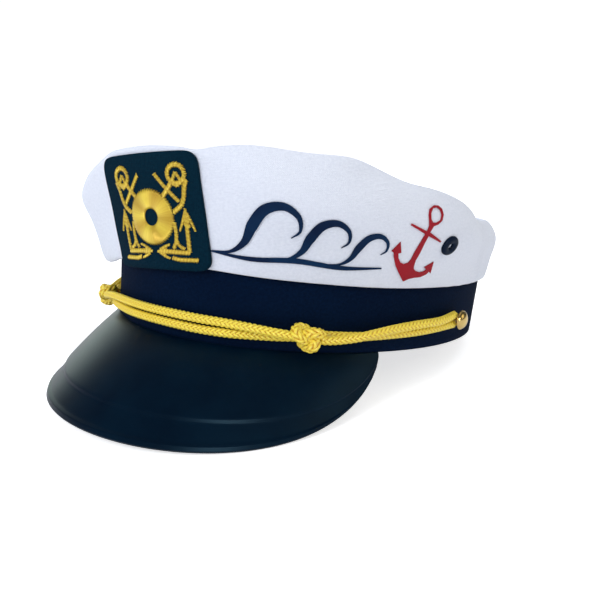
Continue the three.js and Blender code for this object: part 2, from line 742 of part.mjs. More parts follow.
function seatEyelet(mesh, side) {
  const turn = side * EYELET_TURN;
  const out = crownOut(turn, EYELET_UP) + SEAT_GAP;
  const point = crownPoint(turn, out, EYELET_UP);
  const higher = EYELET_UP + EYELET_DIAMETER / 3;
  const above = crownPoint(turn, crownOut(turn, higher) + SEAT_GAP, higher).sub(point);
  const beside = crownPoint(turn + EYELET_DIAMETER / 3 / BAND_LENGTH, out, EYELET_UP).sub(point);
  seat(mesh, point, beside.cross(above).normalize());
}

const SHANK_LENGTH = CORD_DIAMETER + 2 * SEAT_GAP;

function buttonBody() {
  const rim = BUTTON_DIAMETER / 2;
  const shank = SHANK_DIAMETER / 2;
  const back = SHANK_LENGTH;
  return lathe([
    [0, 0],
    [shank, 0],
    [shank, back],
    [rim * 0.92, back],
    [rim, back + BUTTON_DOME * 0.2],
    [rim * 0.9, back + BUTTON_DOME * 0.6],
    [rim * 0.6, back + BUTTON_DOME * 0.9],
    [0, back + BUTTON_DOME],
  ]);
}

// Strap

const CORD_OUT = CORD_DIAMETER / 2 + SEAT_GAP;
const KNOTS = {
  left: { turn: KNOT_LEFT_TURN, height: KNOT_LEFT_HEIGHT },
  right: { turn: KNOT_RIGHT_TURN, height: KNOT_RIGHT_HEIGHT },
};

function cordBody(points, radius) {
  const circle = new THREE.Shape();
  circle.absarc(0, 0, radius, 0, 2 * Math.PI);
  const path = new THREE.CatmullRomCurve3(points);
  const geometry = new THREE.ExtrudeGeometry(circle, {
    curveSegments: CORD_ROUND_STEPS / 2,
    steps: Math.ceil(path.getLength() / CORD_STEP),
    bevelEnabled: false,
    extrudePath: path,
  });
  geometry.deleteAttribute('normal');
  geometry.deleteAttribute('uv');
  return mergeVertices(geometry);
}

function knotCentre({ turn, height }) {
  return bandPoint(turn, height, KNOT_DEPTH / 2 + SEAT_GAP);
}

// How far the upper cord stands out over the lower one, so that they don't run into each other
function cordOver(apart, share) {
  const clear = CORD_DIAMETER + SEAT_GAP;
  return share > 0 ? Math.sqrt(Math.max(clear ** 2 - apart ** 2, 0)) : 0;
}

// A cord's end inside a knot, on the side of it that the cord comes from
function cordEnd(knot, towards, apart, share) {
  const inside = towards * (KNOT_WIDTH / 2 - KNOT_CORD_DEPTH) / bandPoint(knot.turn, 0).length();
  const height = knot.height + share * apart;
  return bandPoint(knot.turn + inside, height, CORD_OUT + cordOver(apart, share));
}

// A point of one of the two cords: share is 0.5 for the upper one and -0.5 for the lower
function routePoint({ height, apart }, turn, share) {
  return bandPoint(turn, height + share * apart, CORD_OUT + cordOver(apart, share));
}

function frontCord(share) {
  return [
    cordEnd(KNOTS.right, 1, KNOT_CORD_APART, share),
    ...FRONT_CORD_ROUTE.map((row) => routePoint(row, rad(row.turn), share)),
    cordEnd(KNOTS.left, -1, KNOT_CORD_APART, share),
  ];
}

// A side cord runs from the knot to the button's shank, under its dome. Its route is
// stretched to the turn that its knot has.
function sideCord(knot, share) {
  const side = Math.sign(knot.turn);
  const stretch = (Math.abs(knot.turn) - BUTTON_TURN) / (KNOT_LEFT_TURN - BUTTON_TURN);
  const turnOf = (row) => side * (BUTTON_TURN + (rad(row.turn) - BUTTON_TURN) * stretch);
  const atShank = BUTTON_TURN - (SHANK_DIAMETER / 2 + 2 * SEAT_GAP) / (BAND_LENGTH / 2);
  const apart = CORD_DIAMETER + SEAT_GAP;
  return [
    cordEnd(knot, side, -KNOT_CORD_APART, share),
    ...SIDE_CORD_ROUTE.map((row) => routePoint(row, turnOf(row), share)),
    bandPoint(side * atShank, BUTTON_HEIGHT + share * apart, CORD_OUT),
  ];
}

// The room that a cord takes in a knot: its own form, thicker and longer by the gap
function pocket(points) {
  const stretched = points.map((point) => point.clone());
  for (const [end, next] of [[0, 1], [points.length - 1, points.length - 2]]) {
    const outwards = points[end].clone().sub(points[next]).setLength(SEAT_GAP);
    stretched[end].add(outwards);
  }
  return toSolid(cordBody(stretched, CORD_DIAMETER / 2 + SEAT_GAP));
}

// A lumpy knot, with pockets where the cords go in
function knotBody(knot, cords) {
  const ball = new THREE.IcosahedronGeometry(1, KNOT_STEPS);
  const position = ball.getAttribute('position');
  const outward = bandNormal(knot.turn);
  const up = new THREE.Vector3(0, 0, 1);
  const beside = up.clone().cross(outward);
  const centre = knotCentre(knot);
  for (let index = 0; index < position.count; index += 1) {
    const spot = new THREE.Vector3().fromBufferAttribute(position, index);
    const lump = 1 + KNOT_LUMP * Math.sin(4 * spot.x + 2 * spot.y) * Math.cos(5 * spot.y - spot.x);
    const placed = centre.clone()
      .addScaledVector(beside, spot.x * lump * KNOT_WIDTH / 2)
      .addScaledVector(up, spot.y * lump * KNOT_TALL / 2)
      .addScaledVector(outward, spot.z * KNOT_DEPTH / 2);
    position.setXYZ(index, placed.x, placed.y, placed.z);
  }
  return toGeometry(cords.map(pocket).reduce((body, room) => body.subtract(room), toSolid(ball)));
}

// Assembly

const hat = new THREE.Group();
hat.name = 'level_hat';

function add(name, geometry, material) {
  const mesh = new THREE.Mesh(geometry, material);
  mesh.name = name;
  hat.add(mesh);
  return mesh;
}

add('band', bandRing(), navyCloth);
add('crown_side', crownSide(), whiteTwill);
add('crown_top', crownTop(), whiteTwill);
const visor = add('visor', visorSheetBody(), visorSheet);
add('badge_patch', badgePatch(), patchCloth);
add('badge_emblem', badgeEmblem(), goldThread);
add('anchor_applique', anchorApplique(), redFilm);
add('wave_applique', waveApplique(), navyFilm);

const STRANDS = [{ level: 'upper', share: 0.5 }, { level: 'lower', share: -0.5 }];
const frontCords = STRANDS.map(({ share }) => frontCord(share));
STRANDS.forEach(({ level }, index) => {
  add(`cord_front_${level}`, cordBody(frontCords[index], CORD_DIAMETER / 2), goldCord);
});

for (const [name, knot] of Object.entries(KNOTS)) {
  const side = Math.sign(knot.turn);
  const sideCords = STRANDS.map(({ share }) => sideCord(knot, share));
  STRANDS.forEach(({ level }, index) => {
    add(`cord_${name}_${level}`, cordBody(sideCords[index], CORD_DIAMETER / 2), goldCord);
  });
  add(`knot_${name}`, knotBody(knot, [...sideCords, ...frontCords]), goldCord);
  const button = add(`button_${name}`, buttonBody(), brass);
  seat(button, bandPoint(side * BUTTON_TURN, BUTTON_HEIGHT, SEAT_GAP), bandNormal(side * BUTTON_TURN));
  seatEyelet(add(`eyelet_${name}`, eyeletRing(), eyeletPaint), side);
}

// The angle that brings the visor's edge down to the surface that the band's back stands on
function restLean() {
  const heel = bandPoint(Math.PI, 0);
  const position = visor.geometry.getAttribute('position');
  let lean = 0;
  for (let index = 0; index < position.count; index += 1) {
    lean = Math.max(lean, Math.atan2(-position.getZ(index), heel.y - position.getY(index)));
  }
  return lean;
}

const standing = new THREE.Group();
standing.add(hat);
hat.rotation.x = -restLean();
standing.updateMatrixWorld(true);
const box = new THREE.Box3().setFromObject(standing, true);
const middle = box.getCenter(new THREE.Vector3());
hat.position.set(-middle.x, -middle.y, -box.min.z);

export default standing;
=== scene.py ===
# %% [markdown]
# A captain hat in Blender. The hat's solid pieces come from a frame that is already at its real
# size, in metres. This lesson dresses them: cloth, moulded sheet, braided cord, brass and
# embroidery. Every piece stays where the frame puts it.

import json
import math

import bmesh
import bpy
import numpy as np
from mathutils import Matrix, Vector, noise
from mathutils.bvhtree import BVHTree


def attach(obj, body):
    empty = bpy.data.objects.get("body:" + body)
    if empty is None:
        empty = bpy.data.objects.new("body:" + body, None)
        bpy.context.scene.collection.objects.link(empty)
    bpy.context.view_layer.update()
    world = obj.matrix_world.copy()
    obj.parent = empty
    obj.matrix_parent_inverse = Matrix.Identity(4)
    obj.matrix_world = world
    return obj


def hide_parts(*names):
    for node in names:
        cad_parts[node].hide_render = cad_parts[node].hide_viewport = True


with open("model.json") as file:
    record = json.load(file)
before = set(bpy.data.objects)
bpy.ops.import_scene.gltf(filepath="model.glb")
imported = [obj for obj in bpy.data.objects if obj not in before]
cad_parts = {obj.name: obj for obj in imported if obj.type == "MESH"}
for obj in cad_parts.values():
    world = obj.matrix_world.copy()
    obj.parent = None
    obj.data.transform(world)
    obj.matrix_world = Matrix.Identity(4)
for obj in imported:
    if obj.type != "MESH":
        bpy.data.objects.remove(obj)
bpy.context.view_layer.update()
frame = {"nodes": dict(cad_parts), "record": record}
MM = 0.001
print("frame nodes:", len(frame["nodes"]))

# %% [markdown]
# The hat leans back, because it stands on the edge of its visor and the back of its band. It is
# easier to think of it as level: the band's lower edge at height 0, the front towards -Y and the
# wearer's left towards +X. The record's rim mount tells how far the hat leans, and the band's own
# points tell where its middle is. LEVEL takes a point of the level hat to its place in the scene.

# %% Find the level hat
rim_axis = frame["record"]["mounts"][0]["axis"]
LEAN = math.atan2(-rim_axis[1], -rim_axis[2])
TURN_BACK = Matrix.Rotation(-LEAN, 4, "X")


def node_points(name, matrix):
    return np.array([matrix @ vertex.co for vertex in frame["nodes"][name].data.vertices])


band_points = node_points("band", TURN_BACK.inverted())
lower_rim = band_points[band_points[:, 2] < band_points[:, 2].min() + 0.1 * MM]
rim_middle = Vector((lower_rim.min(axis=0) + lower_rim.max(axis=0)) / 2)
LEVEL = TURN_BACK @ Matrix.Translation(rim_middle)
TO_LEVEL = LEVEL.inverted()
BAND_HALF_WIDTH, BAND_HALF_LENGTH = (np.ptp(lower_rim, axis=0) / 2)[:2]
band_points -= np.array(rim_middle)
BAND_HEIGHT = band_points[:, 2].max()
print("lean %.2f degrees, band %.1f mm high" % (math.degrees(LEAN), BAND_HEIGHT / MM))

# %% [markdown]
# A turn is an angle round the head, 0 at the front and 90 degrees at the wearer's left. The band
# is an oval cone: it opens a little towards the top at the front and the back, closes a little at
# the sides, and its upper edge dips at the ears. These helpers give points on it.

# %% Points on the band
BAND_FRONT_FLARE = 2.9 * MM
BAND_BACK_FLARE = 3.3 * MM
BAND_SIDE_FLARE = -1.5 * MM
BAND_LEAN = 2.5 * MM
BAND_SIDE_DIP = 3.5 * MM


def band_point(turn, height, out=0.0):
    up = height / BAND_HEIGHT
    flare = BAND_FRONT_FLARE if math.cos(turn) > 0 else BAND_BACK_FLARE
    half_width = BAND_HALF_WIDTH + BAND_SIDE_FLARE * up + out
    half_length = BAND_HALF_LENGTH + flare * up + out
    return Vector((
        half_width * math.sin(turn) + BAND_LEAN * up,
        -half_length * math.cos(turn),
        height,
    ))


def band_top(turn):
    return BAND_HEIGHT - BAND_SIDE_DIP * math.sin(turn) ** 2


def band_outward(turn):
    outward = Vector((math.sin(turn) * BAND_HALF_LENGTH, -math.cos(turn) * BAND_HALF_WIDTH, 0))
    return outward.normalized()


print("front of the band's top edge: %.1f mm out" % (-band_point(0, BAND_HEIGHT).y / MM))

# %% [markdown]
# The camera comes first. The photograph was taken from in front of the hat's left side, a little
# above it and with the camera held at a slight tilt. The pose is written for the level hat and
# then carried into the scene, so that the camera sees the leaning hat just as it saw the hat.

# %% Set the camera
CAMERA_DISTANCE = 340 * MM
CAMERA_AZIMUTH = math.radians(37.4)
CAMERA_HEIGHT_ANGLE = math.radians(10.3)
CAMERA_TILT = math.radians(4.5)
IMAGE_SIZE = 590
FOCAL_PIXELS = 612
SENSOR_WIDTH = 36
HAT_PIXEL_RIGHT = 6.0
HAT_PIXEL_DOWN = 14.9

camera_place = CAMERA_DISTANCE * Vector((
    math.sin(CAMERA_AZIMUTH) * math.cos(CAMERA_HEIGHT_ANGLE),
    -math.cos(CAMERA_AZIMUTH) * math.cos(CAMERA_HEIGHT_ANGLE),
    math.sin(CAMERA_HEIGHT_ANGLE),
))
backward = camera_place.normalized()
sideways = Vector((0, 0, 1)).cross(backward).normalized()
upward = backward.cross(sideways)
tilted_right = sideways * math.cos(CAMERA_TILT) + upward * math.sin(CAMERA_TILT)
tilted_up = upward * math.cos(CAMERA_TILT) - sideways * math.sin(CAMERA_TILT)
pose = Matrix((tilted_right, tilted_up, backward)).transposed().to_4x4()
pose.translation = camera_place

camera_data = bpy.data.cameras.new("photo_camera")
camera_data.sensor_width = SENSOR_WIDTH
camera_data.lens = FOCAL_PIXELS / IMAGE_SIZE * SENSOR_WIDTH
camera_data.shift_x = -HAT_PIXEL_RIGHT / IMAGE_SIZE
camera_data.shift_y = HAT_PIXEL_DOWN / IMAGE_SIZE
camera_data.clip_start = 0.01
camera = bpy.data.objects.new("photo_camera", camera_data)
camera.matrix_world = LEVEL @ pose
bpy.context.scene.collection.objects.link(camera)
bpy.context.scene.camera = camera
print("camera height above the floor: %.0f mm" % (camera.matrix_world.translation.z / MM))

# %% [markdown]
# The stage is a pale floor and a pale surround, lit softly from the front left and less from the
# right, where the light is warmer. Floor and surround look white to the camera, so that they
# blend, but light the hat less than they look. Mirrored in a glossy surface the surround is
# dimmer still, as a dark room round a lit table is, so that the dark visor keeps its depth. Some
# lights only shade and two only glint, on the visor's edge and on the gold.

# %% Build the stage and the lights
FLOOR_SIZE = 40.0
bpy.context.scene.view_settings.view_transform = "Standard"


def linear(red, green, blue):
    """The scene colour of a colour given as three screen values from 0 to 255."""
    def one(value):
        value /= 255
        return value / 12.92 if value <= 0.04045 else ((value + 0.055) / 1.055) ** 2.4
    return (one(red), one(green), one(blue), 1.0)


def plain_material(name, color, roughness, metallic=0.0, specular=0.5):
    material = bpy.data.materials.new(name)
    material.use_nodes = True
    shader = material.node_tree.nodes["Principled BSDF"]
    shader.inputs["Base Color"].default_value = color
    shader.inputs["Roughness"].default_value = roughness
    shader.inputs["Metallic"].default_value = metallic
    shader.inputs["Specular IOR Level"].default_value = specular
    return material


bpy.ops.object.select_all(action="DESELECT")
bpy.ops.mesh.primitive_plane_add(size=FLOOR_SIZE, location=(0, 0, 0))
floor = bpy.context.object
floor.name = "floor"
floor_finish = plain_material("pale_floor", linear(246, 246, 248), 0.9, specular=0.1)
floor_nodes = floor_finish.node_tree.nodes
floor_links = floor_finish.node_tree.links
floor_path = floor_nodes.new("ShaderNodeLightPath")
floor_glow = floor_nodes.new("ShaderNodeMapRange")
floor_glow.inputs["To Min"].default_value = 0.1
floor_glow.inputs["To Max"].default_value = 0.62
floor_shader = floor_nodes["Principled BSDF"]
floor_shader.inputs["Emission Color"].default_value = (1.0, 1.0, 1.0, 1.0)
floor_links.new(floor_path.outputs["Is Camera Ray"], floor_glow.inputs["Value"])
floor_links.new(floor_glow.outputs["Result"], floor_shader.inputs["Emission Strength"])
floor.data.materials.append(floor_finish)

world = bpy.data.worlds.new("surround")
world.use_nodes = True
bpy.context.scene.world = world
world_nodes = world.node_tree.nodes
world_links = world.node_tree.links
background = world_nodes["Background"]
background.inputs["Color"].default_value = (0.94, 0.965, 1.0, 1.0)
light_path = world_nodes.new("ShaderNodeLightPath")
mirrored = world_nodes.new("ShaderNodeMapRange")
mirrored.inputs["To Min"].default_value = 0.55
mirrored.inputs["To Max"].default_value = 0.12
brightness = world_nodes.new("ShaderNodeMapRange")
brightness.inputs["To Max"].default_value = 1.1
world_links.new(light_path.outputs["Is Glossy Ray"], mirrored.inputs["Value"])
world_links.new(light_path.outputs["Is Camera Ray"], brightness.inputs["Value"])
world_links.new(mirrored.outputs["Result"], brightness.inputs["To Min"])
world_links.new(brightness.outputs["Result"], background.inputs["Strength"])


def area_light(name, place, power, size, color, shades=True, mirrors=True):
    data = bpy.data.lights.new(name, "AREA")
    data.energy = power
    data.size = size
    data.color = color
    light = bpy.data.objects.new(name, data)
    light.location = place
    light.rotation_euler = (Vector((0, 0, 0.05)) - Vector(place)).to_track_quat("-Z", "Y").to_euler()
    light.visible_camera = False
    light.visible_diffuse = shades
    light.visible_glossy = mirrors
    bpy.context.scene.collection.objects.link(light)


area_light("front_left_light", (-0.2, -1.3, 0.95), 11, 0.9, (0.93, 0.96, 1.0), mirrors=False)
area_light("top_light", (0.1, 0.1, 1.5), 5.5, 1.2, (0.95, 0.97, 1.0), mirrors=False)
area_light("right_light", (1.3, 0.3, 0.7), 2.6, 0.8, (1.0, 0.9, 0.65))
area_light("back_left_light", (-1.2, 0.75, 0.45), 6, 0.8, (0.95, 0.98, 1.0), mirrors=False)
area_light("visor_sheen_light", (-1.35, 0.2, 0.24), 1.9, 0.55, (0.86, 1.0, 0.9), shades=False)
area_light("gold_glint_light", (0.95, -1.1, 0.5), 10, 0.6, (1.0, 1.0, 0.96), shades=False)

# %% [markdown]
# Two effects are used by more than one finish, so each is a node group. Woven cloth needs fine
# crossing threads that follow the surface: the group reads the piece's own UV map, which is laid
# out in metres, and gives a height for the bump and a shade for the colour. A second noise makes
# slubs, the thicker spots that spun yarn has. Soft mottling is what
# handling and light dyeing leave, and reads the object's own coordinates.

# %% Make the shared effects
def new_group(name, inputs, outputs):
    group = bpy.data.node_groups.new(name, "ShaderNodeTree")
    for label, kind, value in inputs:
        socket = group.interface.new_socket(label, in_out="INPUT", socket_type=kind)
        if value is not None:
            socket.default_value = value
    for label, kind in outputs:
        group.interface.new_socket(label, in_out="OUTPUT", socket_type=kind)
    start = group.nodes.new("NodeGroupInput")
    end = group.nodes.new("NodeGroupOutput")
    return group, start, end


def math_node(tree, operation, first, second=None):
    """A Math node whose inputs are numbers or sockets. Returns its output socket."""
    node = tree.nodes.new("ShaderNodeMath")
    node.operation = operation
    for index, value in enumerate((first, second)):
        if isinstance(value, (int, float)):
            node.inputs[index].default_value = value
        elif value is not None:
            tree.links.new(value, node.inputs[index])
    return node.outputs[0]


def make_woven_group():
    group, start, end = new_group(
        "woven_threads",
        [("Threads", "NodeSocketFloat", 2000.0), ("Twill", "NodeSocketFloat", 1.0)],
        [("Height", "NodeSocketFloat"), ("Shade", "NodeSocketFloat")],
    )
    uv = group.nodes.new("ShaderNodeUVMap")
    uv.uv_map = "cloth"
    split = group.nodes.new("ShaderNodeSeparateXYZ")
    group.links.new(uv.outputs["UV"], split.inputs["Vector"])
    wobble = group.nodes.new("ShaderNodeTexNoise")
    wobble.inputs["Scale"].default_value = 900.0
    group.links.new(uv.outputs["UV"], wobble.inputs["Vector"])
    across = math_node(group, "MULTIPLY", split.outputs["X"], start.outputs["Threads"])
    along = math_node(group, "MULTIPLY", split.outputs["Y"], start.outputs["Threads"])
    slant = math_node(group, "MULTIPLY", along, start.outputs["Twill"])
    loose = math_node(group, "MULTIPLY", wobble.outputs["Fac"], 1.6)
    diagonal = math_node(group, "ADD", math_node(group, "ADD", across, slant), loose)
    rib = math_node(group, "SINE", math_node(group, "MULTIPLY", diagonal, math.pi))
    thread = math_node(group, "SINE", math_node(group, "MULTIPLY", along, 2 * math.pi))
    weave = math_node(group, "MULTIPLY", thread, 0.35)
    total = math_node(group, "ADD", math_node(group, "ABSOLUTE", rib), weave)
    slubs = group.nodes.new("ShaderNodeTexNoise")
    slubs.inputs["Scale"].default_value = 900.0
    slubs.inputs["Detail"].default_value = 2.0
    group.links.new(uv.outputs["UV"], slubs.inputs["Vector"])
    thick = group.nodes.new("ShaderNodeMapRange")
    thick.inputs["From Min"].default_value = 0.35
    thick.inputs["From Max"].default_value = 0.65
    group.links.new(slubs.outputs["Fac"], thick.inputs["Value"])
    height = math_node(group, "ADD", total, math_node(group, "MULTIPLY", thick.outputs["Result"], 0.5))
    group.links.new(height, end.inputs["Height"])
    fine = math_node(group, "MULTIPLY", total, 0.35)
    shade = math_node(group, "ADD", fine, math_node(group, "MULTIPLY", thick.outputs["Result"], 0.45))
    group.links.new(shade, end.inputs["Shade"])
    return group


def make_mottle_group():
    group, start, end = new_group(
        "soft_mottling",
        [("Scale", "NodeSocketFloat", 20.0), ("Detail", "NodeSocketFloat", 4.0)],
        [("Mask", "NodeSocketFloat")],
    )
    place = group.nodes.new("ShaderNodeTexCoord")
    cloud = group.nodes.new("ShaderNodeTexNoise")
    group.links.new(place.outputs["Object"], cloud.inputs["Vector"])
    group.links.new(start.outputs["Scale"], cloud.inputs["Scale"])
    group.links.new(start.outputs["Detail"], cloud.inputs["Detail"])
    spread = group.nodes.new("ShaderNodeMapRange")
    spread.inputs["From Min"].default_value = 0.35
    spread.inputs["From Max"].default_value = 0.65
    group.links.new(cloud.outputs["Fac"], spread.inputs["Value"])
    group.links.new(spread.outputs["Result"], end.inputs["Mask"])
    return group


WOVEN = make_woven_group()
MOTTLE = make_mottle_group()
print("node groups:", [group.name for group in bpy.data.node_groups])

# %% [markdown]
# Every finish is a Principled BSDF. Its colour runs between two close tones, steered by a mask,
# and its bump comes from a height. Numbers that are the same all over are set on the shader.

# %% Make the finishes
def two_tones(material, mask, tone_a, tone_b):
    tree = material.node_tree
    tones = tree.nodes.new("ShaderNodeMix")
    tones.data_type = "RGBA"
    tones.inputs["A"].default_value = tone_a
    tones.inputs["B"].default_value = tone_b
    tree.links.new(mask, tones.inputs["Factor"])
    return tones.outputs["Result"]


def add_bump(material, height, strength, distance):
    tree = material.node_tree
    bump = tree.nodes.new("ShaderNodeBump")
    bump.inputs["Strength"].default_value = strength
    bump.inputs["Distance"].default_value = distance
    tree.links.new(height, bump.inputs["Height"])
    tree.links.new(bump.outputs["Normal"], tree.nodes["Principled BSDF"].inputs["Normal"])


def place_group(material, group, **values):
    node = material.node_tree.nodes.new("ShaderNodeGroup")
    node.node_tree = group
    for label, value in values.items():
        node.inputs[label].default_value = value
    return node


def cloth_finish(name, tone_a, tone_b, threads, twill, bump, sheen=0.15, specular=0.2):
    material = plain_material(name, tone_a, 0.85, specular=specular)
    tree = material.node_tree
    shader = tree.nodes["Principled BSDF"]
    shader.inputs["Sheen Weight"].default_value = sheen
    shader.inputs["Sheen Roughness"].default_value = 0.4
    woven = place_group(material, WOVEN, Threads=threads, Twill=twill)
    mottle = place_group(material, MOTTLE, Scale=28.0)
    patchy = math_node(tree, "ADD", math_node(tree, "MULTIPLY", mottle.outputs["Mask"], 0.4), 0.6)
    mask = math_node(tree, "MULTIPLY", woven.outputs["Shade"], patchy)
    tree.links.new(two_tones(material, mask, tone_a, tone_b), shader.inputs["Base Color"])
    add_bump(material, woven.outputs["Height"], bump, 0.12 * MM)
    return material


WHITE_TWILL = cloth_finish(
    "white_twill", linear(230, 234, 246), linear(214, 219, 233), 1700.0, 1.0, 0.6, sheen=0.05
)
NAVY_CLOTH = cloth_finish(
    "navy_cloth", linear(1, 14, 38), linear(5, 28, 56), 2000.0, 0.6, 0.8, sheen=0.0, specular=0.04
)
PATCH_CLOTH = cloth_finish(
    "patch_cloth", linear(1, 28, 44), linear(4, 40, 56), 1500.0, 0.0, 0.7, sheen=0.0, specular=0.05
)


def thread_finish(name, gap_shade_tone, crest_tone, roughness, metallic=0.0):
    """Lustrous yarn with painted shade, darker in the gaps and under each strand; fine fibres run along each
    strand in its own UV map.
    """
    material = plain_material(name, crest_tone, roughness, metallic, specular=0.55)
    tree = material.node_tree
    shader = tree.nodes["Principled BSDF"]
    uv = tree.nodes.new("ShaderNodeUVMap")
    uv.uv_map = "strand"
    stretch = tree.nodes.new("ShaderNodeMapping")
    stretch.inputs["Scale"].default_value = (350.0, 12.0, 1.0)
    fibres = tree.nodes.new("ShaderNodeTexNoise")
    fibres.inputs["Scale"].default_value = 1.0
    fibres.inputs["Detail"].default_value = 3.0
    tree.links.new(uv.outputs["UV"], stretch.inputs["Vector"])
    tree.links.new(stretch.outputs["Vector"], fibres.inputs["Vector"])
    # Painted shade: points low on their strand, in the gaps and on the undersides, take the darker tone; the
    # fibre noise adds real unevenness.
    crest_shade = tree.nodes.new("ShaderNodeAttribute")
    crest_shade.attribute_name = "crest_shade"
    uneven = math_node(tree, "ADD", math_node(tree, "MULTIPLY", fibres.outputs["Fac"], 0.8), 0.6)
    mask = math_node(tree, "MULTIPLY", crest_shade.outputs["Fac"], uneven)
    tree.links.new(two_tones(material, mask, gap_shade_tone, crest_tone), shader.inputs["Base Color"])
    add_bump(material, fibres.outputs["Fac"], 0.35, 0.1 * MM)
    return material


# The first tone of each is painted shade for the gaps between strands; the second is the yarn's own gold.
GOLD_CORD = thread_finish("gold_cord", linear(200, 120, 0), linear(255, 236, 84), 0.3)
GOLD_THREAD = thread_finish("gold_thread", linear(160, 98, 2), linear(255, 228, 88), 0.26, 0.35)


def smooth_finish(name, tone_a, tone_b, roughness, metallic=0.0, grain=900.0, bump=0.15, specular=0.5):
    """Moulded, painted or polished: a fine grain under a smooth surface."""
    material = plain_material(name, tone_a, roughness, metallic, specular)
    tree = material.node_tree
    shader = tree.nodes["Principled BSDF"]
    mottle = place_group(material, MOTTLE, Scale=60.0)
    fine = place_group(material, MOTTLE, Scale=grain)
    tree.links.new(
        two_tones(material, mottle.outputs["Mask"], tone_a, tone_b), shader.inputs["Base Color"]
    )
    add_bump(material, fine.outputs["Mask"], bump, 0.05 * MM)
    return material


VISOR_SHEET = smooth_finish(
    "visor_sheet", linear(1, 15, 32), linear(2, 21, 38), 0.36, grain=1600.0, specular=0.16
)
visor_shader = VISOR_SHEET.node_tree.nodes["Principled BSDF"]
visor_shader.inputs["Specular Tint"].default_value = (0.4, 0.75, 1.0, 1.0)
RED_FILM = smooth_finish("red_film", linear(160, 14, 34), linear(146, 12, 30), 0.5, specular=0.15)
NAVY_FILM = smooth_finish("navy_film", linear(1, 22, 54), linear(3, 40, 74), 0.45, specular=0.08)
EYELET_PAINT = smooth_finish("eyelet_paint", linear(1, 16, 38), linear(3, 22, 46), 0.4, specular=0.1)
BRASS = smooth_finish(
    "brass", linear(218, 190, 124), linear(190, 160, 92), 0.22, metallic=1.0, grain=500.0, bump=0.08
)
print("finishes:", len(bpy.data.materials))

# %% [markdown]
# Helpers for hand modelling. An operator acts on all that is selected, so only_select makes one
# piece the only selected and active one. A finished piece rides on the hat's one body and stands
# for its CAD node, which is hidden.

# %% Helpers for modelling
def only_select(piece):
    bpy.ops.object.select_all(action="DESELECT")
    piece.select_set(True)
    bpy.context.view_layer.objects.active = piece


def apply_modifier(piece, kind, **settings):
    only_select(piece)
    modifier = piece.modifiers.new(kind.lower(), kind)
    for key, value in settings.items():
        setattr(modifier, key, value)
    bpy.ops.object.modifier_apply(modifier=modifier.name)


def finish_piece(piece, slot_name, *nodes):
    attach(piece, "root")
    if nodes:
        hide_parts(*nodes)
    print(piece.name, "faces:", len(piece.data.polygons))


def mesh_piece(name, points, faces, material):
    mesh = bpy.data.meshes.new(name)
    mesh.from_pydata([tuple(p) for p in points], [], [tuple(f) for f in faces])
    mesh.materials.append(material)
    mesh.update()
    piece = bpy.data.objects.new(name, mesh)
    bpy.context.scene.collection.objects.link(piece)
    return piece


def smooth_copy(node, name, material, levels, crease=0.0, crease_from=45):
    """A copy of a CAD node as one closed skin of quads, rounded by subdivision.

    Edges sharper than crease_from degrees are kept crisp as far as crease says.
    """
    piece = bpy.data.objects.new(name, frame["nodes"][node].data.copy())
    bpy.context.scene.collection.objects.link(piece)
    only_select(piece)
    bpy.ops.mesh.customdata_custom_splitnormals_clear()
    bpy.ops.object.mode_set(mode="EDIT")
    bpy.ops.mesh.select_all(action="SELECT")
    bpy.ops.mesh.remove_doubles(threshold=0.01 * MM)
    bpy.ops.mesh.tris_convert_to_quads(face_threshold=math.pi, shape_threshold=math.pi)
    bpy.ops.mesh.select_mode(type="EDGE")
    bpy.ops.mesh.select_all(action="DESELECT")
    bpy.ops.mesh.edges_select_sharp(sharpness=math.radians(crease_from))
    bpy.ops.transform.edge_crease(value=crease)
    bpy.ops.mesh.select_mode(type="VERT")
    bpy.ops.object.mode_set(mode="OBJECT")
    apply_modifier(piece, "SUBSURF", levels=levels, render_levels=levels)
    bpy.ops.object.shade_smooth()
    piece.data.materials.clear()
    piece.data.materials.append(material)
    return piece


def level_points(piece):
    """The piece's points as rows in the level hat."""
    points = np.empty(len(piece.data.vertices) * 3)
    piece.data.vertices.foreach_get("co", points)
    matrix = np.array(TO_LEVEL)
    return points.reshape(-1, 3) @ matrix[:3, :3].T + matrix[:3, 3]


def set_level_points(piece, points):
    matrix = np.array(LEVEL)
    placed = points @ matrix[:3, :3].T + matrix[:3, 3]
    piece.data.vertices.foreach_set("co", placed.ravel())
    piece.data.update()


def lay_cloth_map(piece, flat=False):
    """A UV map in metres: round the head and up, or seen from above where flat."""
    points = level_points(piece)
    uv = piece.data.uv_layers.new(name="cloth")
    loops = np.empty(len(piece.data.loops), dtype=int)
    piece.data.loops.foreach_get("vertex_index", loops)
    if flat:
        coordinates = points[loops][:, :2]
    else:
        turns = np.arctan2(points[:, 0], -points[:, 1])[loops]
        for polygon in piece.data.polygons:
            corners = slice(polygon.loop_start, polygon.loop_start + polygon.loop_total)
            if np.ptp(turns[corners]) > math.pi:
                turns[corners] = np.where(turns[corners] < 0, turns[corners] + 2 * math.pi, turns[corners])
        reach = (BAND_HALF_WIDTH + BAND_HALF_LENGTH) / 2
        coordinates = np.stack([turns * reach, points[loops][:, 2]], axis=1)
    uv.data.foreach_set("uv", coordinates.ravel())


print("helpers ready")

# %% [markdown]
# The crown is white cotton twill: a wall that flares out over the band, and a top panel that sags
# inside the seam at its crest. A soft crown is never perfectly even. Its wall is pulled by the
# seams, so it has long shallow waves, puckers where it meets the band, and one upright fold
# behind the ear. They are moves of the points along the wall's outward direction, small where the
# badge and the pressed ornaments lie. The crest isn't level either: rows of small lifts raise and
# lower it, and at the front right the wall droops over the band. A row's turn is in degrees, its
# up and its depth or lift in millimetres.

